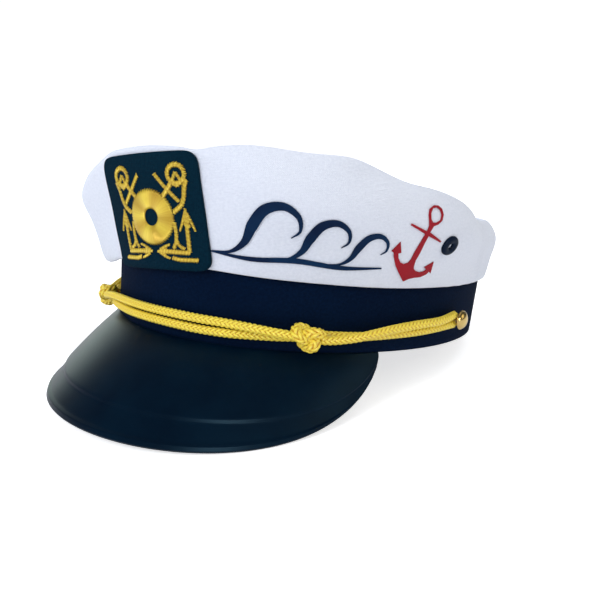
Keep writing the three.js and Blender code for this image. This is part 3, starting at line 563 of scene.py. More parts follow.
# %% Shape the crown
WAVE_DEPTH = 0.8 * MM
PUCKER_DEPTH = 0.35 * MM
PUCKER_COUNT = 58
PUCKER_REACH = 7
SEAM_GAP = 0.5 * MM
TOP_WAVE_DEPTH = 2.0 * MM
BADGE = {"turn": 8, "half": 14, "fade": 10}
ORNAMENTS = {"first": 18, "last": 80, "share": 0.45}
BACK_FOLD = {"turn": 98, "lean": 0.12, "width": 0.9, "depth": 2.3}
CREST_LIFTS = [
    {"turn": -22, "wide": 6, "lift": -2.2},
    {"turn": 0, "wide": 8, "lift": 0.5},
    {"turn": 13.5, "wide": 3, "lift": -1.0},
    {"turn": 24, "wide": 9, "lift": 1.3},
    {"turn": 46, "wide": 7, "lift": 2.0},
    {"turn": 60, "wide": 5, "lift": -0.8},
]
DROOP = {"turn": -22, "wide": 13, "tall": 8, "depth": 2.5}
DENTS = [
    {"turn": 51, "up": 42, "wide": 7, "tall": 5, "depth": 1.3},
    {"turn": 57, "up": 32, "wide": 7, "tall": 8, "depth": 0.7},
    {"turn": 20, "up": 44, "wide": 4, "tall": 6, "depth": 0.8},
    {"turn": -32, "up": 30, "wide": 9, "tall": 7, "depth": 0.9},
    {"turn": 112, "up": 20, "wide": 8, "tall": 10, "depth": -1.6},
    {"turn": 135, "up": 24, "wide": 10, "tall": 7, "depth": 1.2},
    {"turn": -120, "up": 26, "wide": 12, "tall": 8, "depth": 1.3},
    {"turn": 170, "up": 22, "wide": 8, "tall": 7, "depth": 1.0},
]


def calm(turn):
    """Nearly 0 on the badge and the pressed ornaments, rising to 1 beyond them."""
    beyond_badge = np.abs(turn - math.radians(BADGE["turn"])) - math.radians(BADGE["half"])
    from_front = np.clip(beyond_badge / math.radians(BADGE["fade"]), 0, 1)
    side = (turn > math.radians(ORNAMENTS["first"])) & (turn < math.radians(ORNAMENTS["last"]))
    return from_front * np.where(side, ORNAMENTS["share"], 1.0)


def wall_places(points):
    """Each point's turn, in radians and in degrees, and its millimetres over the band's top."""
    turn = np.arctan2(points[:, 0], -points[:, 1])
    top = BAND_HEIGHT - BAND_SIDE_DIP * np.sin(turn) ** 2
    return turn, np.degrees(turn), (points[:, 2] - top) / MM


def crown_moves(points):
    """How far each point of the crown moves outwards."""
    turn, degrees, up = wall_places(points)
    seeds = np.stack([np.sin(turn) * 2.2, np.cos(turn) * 2.2, up / 38], axis=1)
    waves = np.array([noise.noise(Vector(seed)) for seed in seeds])
    uneven = np.array([noise.noise(Vector(seed * 3.1)) for seed in seeds])
    near_seam = np.exp(-np.clip(up, 0, None) / PUCKER_REACH)
    puckers = np.sin(turn * PUCKER_COUNT + 5 * waves) * near_seam * (0.4 + uneven)
    moves = ((waves + 0.4 * uneven) * WAVE_DEPTH + puckers * PUCKER_DEPTH) * calm(turn)
    for dent in DENTS:
        across = (degrees - dent["turn"]) / dent["wide"]
        along = (up - dent["up"]) / dent["tall"]
        moves -= dent["depth"] * MM * np.exp(-(across ** 2 + along ** 2))
    across = (degrees - BACK_FOLD["turn"] - BACK_FOLD["lean"] * (15 - up)) / BACK_FOLD["width"]
    fold = np.exp(-(across ** 2)) - 0.5 * np.exp(-((across + 2.2) ** 2))
    return moves - fold * np.clip((up - 1) / 6, 0, 1) * BACK_FOLD["depth"] * MM


def crown_lifts(points):
    """How far each point of the crown moves upwards."""
    _, degrees, up = wall_places(points)
    high = np.clip((up - 30) / 14, 0, 1)
    lift = sum(
        row["lift"] * np.exp(-(((degrees - row["turn"]) / row["wide"]) ** 2)) for row in CREST_LIFTS
    )
    droop = DROOP["depth"] * np.exp(-(((degrees - DROOP["turn"]) / DROOP["wide"]) ** 2))
    droop *= np.exp(-((np.clip(up, 0, None) / DROOP["tall"]) ** 2))
    return (lift * high - droop) * MM


def outward_of(points):
    flat = points * np.array([1 / BAND_HALF_WIDTH ** 2, 1 / BAND_HALF_LENGTH ** 2, 0])
    length = np.linalg.norm(flat, axis=1, keepdims=True)
    return flat / np.maximum(length, 1e-9)


crown_side = smooth_copy("crown_side", "crown_side_cloth", WHITE_TWILL, 3)
side_points = level_points(crown_side)
side_moves = outward_of(side_points) * crown_moves(side_points)[:, None]
side_moves[:, 2] += crown_lifts(side_points)
side_points += side_moves
set_level_points(crown_side, side_points)
lay_cloth_map(crown_side)
finish_piece(crown_side, "white_twill", "crown_side")

crown_top = smooth_copy("crown_top", "crown_top_cloth", WHITE_TWILL, 3)
top_points = level_points(crown_top)
top_reach = np.hypot(top_points[:, 0] / BAND_HALF_WIDTH, top_points[:, 1] / BAND_HALF_LENGTH)
top_seeds = top_points * np.array([22.0, 18.0, 0.0])
top_waves = np.array([noise.noise(Vector(seed)) for seed in top_seeds])
top_points[:, 2] += top_waves * TOP_WAVE_DEPTH * np.clip(1 - top_reach ** 3, 0, 1)
near_rim = np.clip(top_reach, 0, 1) ** 4
rim_moves = np.minimum(crown_moves(top_points), 0) + SEAM_GAP
top_moves = outward_of(top_points) * (rim_moves * near_rim)[:, None]
top_moves[:, 2] += crown_lifts(top_points) * near_rim
top_points += top_moves
set_level_points(crown_top, top_points)
lay_cloth_map(crown_top, flat=True)
finish_piece(crown_top, "white_twill", "crown_top")

# %% [markdown]
# The band is a stiff ring wrapped in navy cloth, so it stays smooth. The visor is one moulded
# sheet of satin plastic with a raised line and a rolled rim; it has no cloth on it, only a fine
# moulded grain. Both are the frame's own forms, rounded. The visor's root is lifted by a hair, so
# that it presses into the band's edge and no light comes through between them.

# %% Shape the band and the visor
ROOT_REACH = 3 * MM
ROOT_LIFT = 0.5 * MM
band = smooth_copy("band", "band_cloth", NAVY_CLOTH, 2, crease=0.85)
lay_cloth_map(band)
finish_piece(band, "navy_cloth", "band")

visor = smooth_copy("visor", "visor_sheet_moulded", VISOR_SHEET, 3, crease=0.8, crease_from=14)
visor_points = level_points(visor)
near_band = np.clip(visor_points[:, 2] / ROOT_REACH + 1, 0, 1)
visor_points[:, 2] += near_band * ROOT_LIFT
set_level_points(visor, visor_points)
finish_piece(visor, "visor_sheet", "visor")

# %% [markdown]
# The strap is round braid. Twelve strands of gold yarn run round a core, six each way, and pass
# over two and under two, which draws chevrons along the cord. It is modelled strand by strand: a
# strand is a flat oval that winds along the route and dips where others cross over it. Each point
# keeps how near it lies to the top of its strand, in an attribute, and the finish reads that to
# paint shade into the colour: darker in the gaps between strands and on their undersides.

# %% Make the braid
STRANDS_EACH_WAY = 6
CHEVRON_LENGTH = 2.1 * MM
STRAND_MIDDLE = 1.18 * MM
STRAND_RISE = 0.3 * MM
STRAND_HALF_WIDTH = 0.58 * MM
STRAND_HALF_DEPTH = 0.44 * MM
STRAND_SIDES = 8
STRAND_ROUND = 4 * MM
CORE_GAP = 0.2 * MM
BRAID_STEP = 0.5 * MM
ROUTE_STEPS = 24


def curve_through(points, steps):
    """A smooth line through points, with as many steps between each two."""
    given = np.array([tuple(p) for p in points])
    padded = np.vstack([2 * given[0] - given[1], given, 2 * given[-1] - given[-2]])
    line = []
    for a, b, c, d in zip(padded, padded[1:], padded[2:], padded[3:]):
        for t in np.linspace(0, 1, steps, endpoint=False):
            line.append(0.5 * (
                2 * b + (c - a) * t + (2 * a - 5 * b + 4 * c - d) * t ** 2
                + (3 * b - a - 3 * c + d) * t ** 3
            ))
    line.append(given[-1])
    return np.array(line)


def smooth_route(points):
    """Points at even steps along a smooth curve through the given ones."""
    fine = curve_through(points, ROUTE_STEPS)
    lengths = np.concatenate([[0], np.cumsum(np.linalg.norm(np.diff(fine, axis=0), axis=1))])
    count = max(8, int(round(lengths[-1] / BRAID_STEP)))
    stations = np.linspace(0, lengths[-1], count + 1)
    even = np.stack([np.interp(stations, lengths, fine[:, axis]) for axis in range(3)], axis=1)
    return even, lengths[-1]


def travelling_frames(route):
    """Two directions across the route at each point, turned as little as possible."""
    ahead = np.gradient(route, axis=0)
    ahead /= np.linalg.norm(ahead, axis=1, keepdims=True)
    across = np.cross(ahead[0], [0.0, 0.0, 1.0])
    across /= np.linalg.norm(across)
    firsts = []
    for direction in ahead:
        across = across - direction * np.dot(across, direction)
        across /= np.linalg.norm(across)
        firsts.append(across)
    firsts = np.array(firsts)
    return firsts, np.cross(ahead, firsts)


def tube_faces(rings, sides, offset):
    faces = []
    for ring in range(rings - 1):
        for side in range(sides):
            beside = (side + 1) % sides
            here = offset + ring * sides
            faces.append((here + side, here + beside, here + sides + beside, here + sides + side))
    faces.append(tuple(offset + side for side in reversed(range(sides))))
    faces.append(tuple(offset + (rings - 1) * sides + side for side in range(sides)))
    return faces


def swept_strand(path, outward, half_width, half_depth, sides):
    """Rings of points of a flat oval that follows a path, its broad side facing outward."""
    ahead = np.gradient(path, axis=0)
    ahead /= np.linalg.norm(ahead, axis=1, keepdims=True)
    beside = np.cross(ahead, outward)
    beside /= np.linalg.norm(beside, axis=1, keepdims=True)
    above = np.cross(beside, ahead)
    angles = np.arange(sides) / sides * 2 * math.pi
    return (
        path[:, None, :]
        + beside[:, None, :] * (half_width * np.cos(angles))[None, :, None]
        + above[:, None, :] * (half_depth * np.sin(angles))[None, :, None]
    )


def write_crest_shades(piece, values):
    """Stores for each point how near it lies to the top of its strand; the finish paints shade from it into
    the gaps.
    """
    crest_shade = piece.data.attributes.new(name="crest_shade", type="FLOAT", domain="POINT")
    crest_shade.data.foreach_set("value", values)


def write_strand_map(piece, places):
    """The UV map that the yarn's finish reads: round the strand and along it, in metres."""
    uv = piece.data.uv_layers.new(name="strand")
    for loop in piece.data.loops:
        uv.data[loop.index].uv = places[loop.vertex_index]


def braided_cord(node, points, thickness=1.0):
    """Braids a cord along points of the level hat, in place of a CAD node."""
    route, length = smooth_route(points)
    first, second = travelling_frames(route)
    along = np.linspace(0, length, len(route))
    lay = CHEVRON_LENGTH * STRANDS_EACH_WAY
    rings, faces, crest_shades = [], [], []
    strand_map = [(side / STRAND_SIDES * STRAND_ROUND, s) for s in along for side in range(STRAND_SIDES)]
    inner = STRAND_MIDDLE - STRAND_RISE
    side_lift = np.sin(np.arange(STRAND_SIDES) / STRAND_SIDES * 2 * math.pi) * STRAND_HALF_DEPTH
    offset = 0
    for way in (1, -1):
        for strand in range(STRANDS_EACH_WAY):
            angle = way * 2 * math.pi * along / lay + 2 * math.pi * strand / STRANDS_EACH_WAY
            swing = np.cos(STRANDS_EACH_WAY / 2 * angle - math.pi / 4)
            rise = way * np.tanh(1.6 * swing) * STRAND_RISE
            outward = first * np.cos(angle)[:, None] + second * np.sin(angle)[:, None]
            path = route + outward * ((STRAND_MIDDLE + rise) * thickness)[:, None]
            body = swept_strand(
                path, outward, STRAND_HALF_WIDTH * thickness, STRAND_HALF_DEPTH * thickness, STRAND_SIDES
            )
            rings.append(body.reshape(-1, 3))
            # How high each point stands on its strand; the finish paints shade into the low points.
            height = STRAND_MIDDLE + rise[:, None] + side_lift[None, :] - inner
            crest_shades.append(np.clip(height / (2 * STRAND_RISE + STRAND_HALF_DEPTH), 0, 1).ravel())
            faces += tube_faces(len(route), STRAND_SIDES, offset)
            offset += len(route) * STRAND_SIDES
    core_radius = (STRAND_MIDDLE - CORE_GAP) * thickness
    core = swept_strand(route, first, core_radius, core_radius, STRAND_SIDES)
    rings.append(core.reshape(-1, 3))
    crest_shades.append(np.zeros(len(route) * STRAND_SIDES))
    faces += tube_faces(len(route), STRAND_SIDES, offset)
    placed = [LEVEL @ Vector(p) for p in np.concatenate(rings)]
    piece = mesh_piece(f"{node}_braid", placed, faces, GOLD_CORD)
    write_strand_map(piece, strand_map * (2 * STRANDS_EACH_WAY + 1))
    write_crest_shades(piece, np.concatenate(crest_shades))
    only_select(piece)
    bpy.ops.object.shade_smooth()
    print("%s: %.0f mm of cord" % (piece.name, length / MM))
    finish_piece(piece, "gold_cord", node)


print("strands in the braid:", 2 * STRANDS_EACH_WAY)

# %% [markdown]
# Two cords run side by side across the front, between two knots. Beyond each knot they go on to a
# button at the side. Each row of a route gives a turn, the height of the middle of the pair and
# how far apart the two run. Where that is less than a cord's thickness the upper one stands out
# over the lower one; a negative number means that they have changed places. The same rows are in
# the hat's solid model.

# %% Lay the cords
CORD_DIAMETER = 3.8 * MM
SEAT_GAP = 0.3 * MM
CORD_OUT = CORD_DIAMETER / 2 + SEAT_GAP
CORD_CLEAR = CORD_DIAMETER + SEAT_GAP
KNOTS = {
    "left": {"turn": math.radians(42.6), "height": 7.5 * MM},
    "right": {"turn": math.radians(-36), "height": 6.7 * MM},
}
KNOT_WIDTH = 15.2 * MM
KNOT_TALL = 11.6 * MM
KNOT_DEPTH = 9.2 * MM
KNOT_CORD_DEPTH = 2.9 * MM
KNOT_CORD_APART = 1.2 * MM
BUTTON_TURN = math.radians(88.3)
BUTTON_HEIGHT = 12.1 * MM
SHANK_RADIUS = 1.0 * MM
FRONT_ROUTE = [
    {"turn": -29, "height": 7.4, "apart": 2.4},
    {"turn": -22, "height": 8.0, "apart": 3.9},
    {"turn": -10, "height": 8.4, "apart": 4.3},
    {"turn": 0, "height": 8.6, "apart": 4.3},
    {"turn": 9, "height": 8.5, "apart": 4.4},
    {"turn": 16, "height": 8.2, "apart": 4.4},
    {"turn": 23, "height": 8.0, "apart": 4.1},
    {"turn": 29, "height": 8.0, "apart": 3.5},
    {"turn": 35, "height": 7.7, "apart": 2.3},
]
SIDE_ROUTE = [
    {"turn": 49, "height": 7.5, "apart": -0.8},
    {"turn": 54, "height": 8.0, "apart": 0.5},
    {"turn": 58.5, "height": 8.8, "apart": 1.9},
    {"turn": 64, "height": 9.8, "apart": 3.0},
    {"turn": 71, "height": 10.5, "apart": 3.6},
    {"turn": 79, "height": 11.2, "apart": 3.6},
]


def cord_over(apart, share):
    """How far the upper cord stands out over the lower one."""
    return math.sqrt(max(CORD_CLEAR ** 2 - apart ** 2, 0)) if share > 0 else 0.0


def route_point(turn, height, apart, share):
    return band_point(turn, height + share * apart, CORD_OUT + cord_over(apart, share))


def cord_end(knot, towards, apart, share):
    inside = towards * (KNOT_WIDTH / 2 - KNOT_CORD_DEPTH) / band_point(knot["turn"], 0).length
    return route_point(knot["turn"] + inside, knot["height"], apart, share)


def front_cord(share):
    middle = [
        route_point(math.radians(row["turn"]), row["height"] * MM, row["apart"] * MM, share)
        for row in FRONT_ROUTE
    ]
    first = cord_end(KNOTS["right"], 1, KNOT_CORD_APART, share)
    last = cord_end(KNOTS["left"], -1, KNOT_CORD_APART, share)
    return [first, *middle, last]


def side_cord(knot, share):
    side = math.copysign(1, knot["turn"])
    stretch = (abs(knot["turn"]) - BUTTON_TURN) / (KNOTS["left"]["turn"] - BUTTON_TURN)
    at_shank = BUTTON_TURN - (SHANK_RADIUS + 2 * SEAT_GAP) / BAND_HALF_LENGTH
    points = [cord_end(knot, side, -KNOT_CORD_APART, share)]
    for row in SIDE_ROUTE:
        turn = side * (BUTTON_TURN + (math.radians(row["turn"]) - BUTTON_TURN) * stretch)
        points.append(route_point(turn, row["height"] * MM, row["apart"] * MM, share))
    points.append(band_point(side * at_shank, BUTTON_HEIGHT + share * CORD_CLEAR, CORD_OUT))
    return points


for level, share in (("upper", 0.5), ("lower", -0.5)):
    braided_cord(f"cord_front_{level}", front_cord(share))
    for side_name, knot in KNOTS.items():
        braided_cord(f"cord_{side_name}_{level}", side_cord(knot, share))

# %% [markdown]
# Each knot is the same braid pulled into a tight overhand knot. Its route is the curve that a
# trefoil knot follows, squeezed to the knot's real width, height and depth, so the turns of cord
# press into each other as they do in a tight knot.

# %% Tie the knots
KNOT_OUT = 1.1 * MM
KNOT_FULLNESS = 1.25
KNOT_LOBE_TURN = math.radians(30)
KNOT_STRETCH = 1.3
KNOT_TILT = math.radians(-36)


def turned(x, y, angle):
    return x * math.cos(angle) - y * math.sin(angle), x * math.sin(angle) + y * math.cos(angle)


def filled(values, width):
    """The values moved and scaled so that they fill a width about 0."""
    return (values - (values.max() + values.min()) / 2) * width / np.ptp(values)


def knot_route(knot):
    centre = band_point(knot["turn"], knot["height"], KNOT_DEPTH / 2 + KNOT_OUT)
    outward = band_outward(knot["turn"])
    beside = Vector((0, 0, 1)).cross(outward) * math.copysign(1, knot["turn"])
    thick = CORD_DIAMETER * KNOT_FULLNESS
    t = np.linspace(0, 2 * math.pi, 37) + 0.5
    x, y = turned(np.sin(t) + 2 * np.sin(2 * t), np.cos(t) - 2 * np.cos(2 * t), KNOT_LOBE_TURN)
    x, y = turned(x * KNOT_STRETCH, y, KNOT_TILT)
    x, y = filled(x, KNOT_WIDTH - thick), filled(y, KNOT_TALL - thick)
    deep = filled(-np.sin(3 * t), KNOT_DEPTH - thick)
    return [centre + beside * a + Vector((0, 0, 1)) * b + outward * c for a, b, c in zip(x, y, deep)]


for side_name, knot in KNOTS.items():
    braided_cord(f"knot_{side_name}", knot_route(knot), thickness=KNOT_FULLNESS)

# %% [markdown]
# The buttons and the eyelets are turned parts. Each begins as a profile, a chain of edges, that
# the spin operator sweeps round its axis. A bevel is already in the profile, so the edges catch
# the light. The button is polished brass; the eyelet is a painted ring round a small hole.

# %% Turn the buttons and the eyelets
def turned_piece(name, profile, steps, material, place):
    """Spins a profile of (radius, height) pairs round Z, then carries it to its place."""
    points = [(radius, 0.0, height) for radius, height in profile]
    piece = mesh_piece(name, points, [], material)
    builder = bmesh.new()
    builder.from_mesh(piece.data)
    builder.verts.ensure_lookup_table()
    for first, second in zip(builder.verts[:-1], builder.verts[1:]):
        builder.edges.new((first, second))
    builder.to_mesh(piece.data)
    builder.free()
    only_select(piece)
    bpy.ops.object.mode_set(mode="EDIT")
    bpy.ops.mesh.select_all(action="SELECT")
    bpy.ops.mesh.spin(steps=steps, angle=2 * math.pi, center=(0, 0, 0), axis=(0, 0, 1))
    bpy.ops.mesh.select_all(action="SELECT")
    bpy.ops.mesh.remove_doubles(threshold=0.005 * MM)
    bpy.ops.mesh.normals_make_consistent(inside=False)
    bpy.ops.object.mode_set(mode="OBJECT")
    piece.data.transform(place)
    bpy.ops.object.shade_smooth_by_angle(angle=math.radians(50))
    return piece


def seat_matrix(point, outward):
    turn = Vector((0, 0, 1)).rotation_difference(outward)
    return LEVEL @ Matrix.LocRotScale(point, turn, None)


def arc(centre_radius, centre_height, radius, first, last, count):
    """Profile points on an arc, between two angles in degrees."""
    angles = np.radians(np.linspace(first, last, count))
    return [(centre_radius + radius * math.cos(a), centre_height + radius * math.sin(a)) for a in angles]


BUTTON_RADIUS = 4.5 * MM
BUTTON_DOME = 2.8 * MM
BUTTON_BACK = CORD_DIAMETER + 2 * SEAT_GAP
BUTTON_LIP = 0.35 * MM
dome = [
    (BUTTON_RADIUS * 0.93 * math.cos(a), BUTTON_BACK + BUTTON_LIP + (BUTTON_DOME - BUTTON_LIP) * math.sin(a))
    for a in np.radians(np.linspace(0, 90, 14))
]
button_profile = [
    (0.0, 0.0),
    (SHANK_RADIUS * 1.3, 0.0),
    (SHANK_RADIUS * 1.3, 0.3 * MM),
    (SHANK_RADIUS, 0.6 * MM),
    (SHANK_RADIUS, BUTTON_BACK),
    *arc(BUTTON_RADIUS - BUTTON_LIP, BUTTON_BACK + BUTTON_LIP, BUTTON_LIP, -90, 100, 7),
    *dome[1:],
]

EYELET_TURN = math.radians(74)
EYELET_UP = 19.2 * MM
EYELET_RADIUS = 4.3 * MM
EYELET_HOLE = 1.1 * MM
EYELET_DOME = 1.45 * MM
EYELET_DEPTH = 0.9 * MM
eyelet_middle = (EYELET_RADIUS + EYELET_HOLE) / 2
eyelet_reach = (EYELET_RADIUS - EYELET_HOLE) / 2
eyelet_profile = [(EYELET_HOLE, -EYELET_DEPTH)]
for angle in np.radians(np.linspace(180, 0, 15)):
    eyelet_profile.append((
        eyelet_middle + eyelet_reach * math.cos(angle),
        -0.1 * MM + EYELET_DOME * max(math.sin(angle), 0.0) ** 0.8,
    ))
eyelet_profile.append((EYELET_RADIUS - 0.2 * MM, -EYELET_DEPTH))
eyelet_profile.append((EYELET_HOLE, -EYELET_DEPTH))


def skin_of(piece):
    """A tree of the piece's faces, for asking where a ray meets it."""
    return BVHTree.FromObject(piece, bpy.context.evaluated_depsgraph_get())


def meet_from_outside(tree, turn, height):
    """Where the level hat's outer skin is at a turn and height, and which way it faces."""
    outward = Vector((
        BAND_HALF_WIDTH * math.sin(turn), -BAND_HALF_LENGTH * math.cos(turn), 0
    )).normalized()
    start = LEVEL @ (outward * 0.3 + Vector((0, 0, height)))
    direction = LEVEL.to_3x3() @ -outward
    point, normal, _, _ = tree.ray_cast(start, direction)
    return TO_LEVEL @ point, (TO_LEVEL.to_3x3() @ normal).normalized()


crown_skin = skin_of(crown_side)
for side_name, side in (("left", 1), ("right", -1)):
    turn = side * BUTTON_TURN
    place = seat_matrix(band_point(turn, BUTTON_HEIGHT, SEAT_GAP), band_outward(turn))
    button = turned_piece(f"button_{side_name}_domed", button_profile, 48, BRASS, place)
    finish_piece(button, "brass", f"button_{side_name}")
    turn = side * EYELET_TURN
    point, outward = meet_from_outside(crown_skin, turn, band_top(turn) + EYELET_UP)
    place = seat_matrix(point + outward * 0.2 * MM, outward)
    eyelet = turned_piece(f"eyelet_{side_name}_ring", eyelet_profile, 40, EYELET_PAINT, place)
    finish_piece(eyelet, "eyelet_paint", f"eyelet_{side_name}")

# %% [markdown]
# The badge is a dark cloth patch with rounded corners. Its emblem is satin stitch: every stroke
# is filled with threads laid side by side across it. Each thread is modelled as a thin oval that
# arches over the stroke, because only real threads give the sheen that turns with the stroke.

# %% Sew the patch
patch = smooth_copy("badge_patch", "badge_patch_cloth", PATCH_CLOTH, 2, crease=0.6)
lay_cloth_map(patch)
finish_piece(patch, "patch_cloth", "badge_patch")

PATCH_SHIFT = 2.8 * MM
PATCH_ROLL = math.radians(4.8)
PATCH_HEIGHT = 45.6 * MM
PATCH_OVERLAP = 2.8 * MM
patch_skin = skin_of(patch)


def on_patch(side, up, lift):
    """A point over the patch, from flat places measured from the patch's lower middle."""
    x = side * math.cos(PATCH_ROLL) - (up - PATCH_HEIGHT / 2) * math.sin(PATCH_ROLL) + PATCH_SHIFT
    z = side * math.sin(PATCH_ROLL) + (up - PATCH_HEIGHT / 2) * math.cos(PATCH_ROLL)
    z += PATCH_HEIGHT / 2 - PATCH_OVERLAP + BAND_HEIGHT
    start = LEVEL @ Vector((x, -0.3, z))
    point, normal, _, _ = patch_skin.ray_cast(start, LEVEL.to_3x3() @ Vector((0, 1, 0)))
    if point is None:
        return None
    return np.array(point + normal * lift)


THREAD_SPACING = 0.5 * MM
THREAD_RADIUS = 0.25 * MM
THREAD_SIDES = 5


class Embroidery:
    """Collects stitches, each a thin arched thread, and makes one piece of them."""

    def __init__(self):
        self.points, self.faces, self.uv, self.crest_shades = [], [], [], []

    def stitch(self, spots):
        """One thread through points over the cloth; its ends are narrow."""
        path = np.array(spots)
        outward = np.tile(path[len(path) // 2] - np.array(LEVEL.translation), (len(path), 1))
        outward /= np.linalg.norm(outward, axis=1, keepdims=True)
        body = swept_strand(path, outward, THREAD_RADIUS, THREAD_RADIUS, THREAD_SIDES)
        middles = path[[0, -1]]
        for ring, middle in zip((0, -1), middles):
            body[ring] = middle + (body[ring] - middle) * 0.45
        self.faces += tube_faces(len(path), THREAD_SIDES, len(self.points))
        self.points += list(body.reshape(-1, 3))
        # Painted shade: each thread is lighter on top and darker underneath; the per-thread factor below is a
        # random tone of the yarn.
        top_shades = 0.5 + 0.5 * np.sin(np.arange(THREAD_SIDES) / THREAD_SIDES * 2 * math.pi)
        shade = 0.78 + 0.22 * math.sin(len(self.points) * 12.9898)
        self.crest_shades += [shade * top for _ in path for top in top_shades]
        lengths = np.linspace(0, np.linalg.norm(path[-1] - path[0]), len(path))
        self.uv += [(side * MM + len(self.points) * 0.01, s) for s in lengths for side in range(THREAD_SIDES)]

    def across(self, surface, one, other, height, parts=4):
        """A thread from one flat place to another that arches over the stroke between them."""
        spots = []
        for share in np.linspace(0, 1, parts + 1):
            flat = one + (other - one) * share
            lift = THREAD_RADIUS * 0.4 + height * (1 - (2 * share - 1) ** 2) ** 0.5
            spot = surface(flat[0], flat[1], lift)
            if spot is None:
                return
            spots.append(spot)
        self.stitch(spots)

    def stroke(self, surface, line, widths, height, slant=0.35):
        """Satin stitch along a flat line, from one width to another."""
        line = np.array(line, dtype=float)
        lengths = np.concatenate([[0], np.cumsum(np.linalg.norm(np.diff(line, axis=0), axis=1))])
        count = max(2, int(lengths[-1] / THREAD_SPACING))
        stations = (np.arange(count) + 0.5) / count * lengths[-1]
        for station in stations:
            here = np.array([np.interp(station, lengths, line[:, axis]) for axis in range(2)])
            leg = min(np.searchsorted(lengths, station), len(line) - 1)
            ahead = line[leg] - line[leg - 1]
            ahead /= np.linalg.norm(ahead)
            uneven = 1 + 0.14 * math.sin(station / MM * 7.3)
            half = np.interp(station, [0, lengths[-1]], widths) / 2 * uneven
            reach = np.array([-ahead[1], ahead[0]]) * half + ahead * half * slant
            self.across(surface, here - reach, here + reach, height)

    def piece(self, name, material):
        made = mesh_piece(name, self.points, self.faces, material)
        write_strand_map(made, self.uv)
        write_crest_shades(made, self.crest_shades)
        only_select(made)
        bpy.ops.object.shade_smooth()
        return made

# %% [markdown]
# The emblem is drawn once, for one side, in millimetres on the patch, and mirrored for the other:
# a ring, shank, stock and rope of an anchor, an upright arrow, a lying arrow and a bar. The boss
# in the middle is an oval ring of long threads that all point at its centre.

# %% Stitch the emblem
EMBLEM_SHIFT = 1.7
STROKE_ARCH = 0.28 * MM
RING_ARCH = 0.4 * MM
BOSS_ARCH = 0.75 * MM
BOSS = {"side": 0.0, "up": 20.85, "wide": 12.35, "tall": 11.05, "hole_wide": 3.7, "hole_tall": 3.4}
EMBLEM_STROKES = [
    {"what": "shank", "line": [(8.0, 28.8), (10.6, 31.2), (13.4, 34.1)], "width": 2.1},
    {"what": "ring knot", "line": [(13.3, 33.7), (15.6, 37.6), (17.9, 34.3)], "width": 1.5},
    {"what": "ring knot", "line": [(17.9, 34.3), (15.9, 32.4), (13.3, 33.7)], "width": 1.5},
    {"what": "stock", "line": [(4.8, 37.4), (9.8, 32.0), (15.7, 26.5)], "width": 1.8},
    {
        "what": "rope",
        "line": [(20.4, 35.0), (18.9, 31.8), (18.2, 28.2), (16.6, 25.2), (12.4, 22.6)],
        "width": 2.1,
    },
    {"what": "side arrow head", "line": [(18.0, 24.2), (18.0, 17.2)], "width": 1.0, "end": 3.6},
    {"what": "side barb", "line": [(18.2, 22.4), (20.4, 18.2), (21.6, 15.3)], "width": 1.7, "end": 0.9},
    {"what": "side barb", "line": [(17.8, 22.4), (15.9, 18.4), (14.4, 15.4)], "width": 1.7, "end": 0.9},
    {"what": "side stem", "line": [(17.9, 17.4), (17.8, 12.0), (17.6, 7.5)], "width": 2.0},
    {"what": "strand", "line": [(12.0, 19.0), (12.5, 14.8), (12.0, 10.8)], "width": 1.9},
    {"what": "strand fork", "line": [(12.0, 11.2), (10.2, 8.5)], "width": 1.7},
    {"what": "strand fork", "line": [(12.2, 11.4), (13.6, 9.4), (15.8, 8.4)], "width": 1.7},
    {"what": "low arrow head", "line": [(1.4, 7.3), (6.4, 7.4)], "width": 0.9, "end": 3.4},
    {"what": "low barb", "line": [(3.0, 7.8), (6.0, 9.4), (8.7, 10.2)], "width": 1.7, "end": 0.9},
    {"what": "low barb", "line": [(3.0, 6.9), (5.6, 5.4), (8.1, 4.6)], "width": 1.7, "end": 0.9},
    {"what": "low shaft", "line": [(5.0, 7.4), (11.0, 7.2), (18.0, 7.0)], "width": 2.0},
    {"what": "bar", "line": [(9.1, 4.9), (12.4, 4.2), (21.2, 4.2)], "width": 1.8},
]
EMBLEM_RING = {"side": 15.7, "up": 36.9, "wide": 4.1, "tall": 3.5, "width": 2.1}


def oval(side, up, wide, tall, count=36):
    angles = np.linspace(0, 2 * math.pi, count + 1)
    return [(side + wide * math.cos(a), up + tall * math.sin(a)) for a in angles]


def emblem_line(line, mirror):
    return [((mirror * side + EMBLEM_SHIFT) * MM, up * MM) for side, up in line]


emblem = Embroidery()
for mirror in (1, -1):
    for stroke in EMBLEM_STROKES:
        widths = (stroke["width"] * MM, stroke.get("end", stroke["width"]) * MM)
        emblem.stroke(on_patch, emblem_line(stroke["line"], mirror), widths, STROKE_ARCH)
    ring_line = oval(EMBLEM_RING["side"], EMBLEM_RING["up"], EMBLEM_RING["wide"], EMBLEM_RING["tall"])
    ring_width = EMBLEM_RING["width"] * MM
    emblem.stroke(on_patch, emblem_line(ring_line, mirror), (ring_width, ring_width), RING_ARCH)

BOSS_THREADS = 150
for index in range(BOSS_THREADS):
    angle = index / BOSS_THREADS * 2 * math.pi
    jog = 0.25 * math.sin(index * 2.4)
    ends = []
    for wide, tall in ((BOSS["hole_wide"], BOSS["hole_tall"]), (BOSS["wide"] + jog, BOSS["tall"] + jog)):
        side = BOSS["side"] + EMBLEM_SHIFT + wide * math.cos(angle)
        ends.append(np.array([side * MM, (BOSS["up"] + tall * math.sin(angle)) * MM]))
    emblem.across(on_patch, ends[0], ends[1], BOSS_ARCH, parts=8)
emblem_piece = emblem.piece("badge_emblem_stitches", GOLD_THREAD)
finish_piece(emblem_piece, "gold_thread", "badge_emblem")

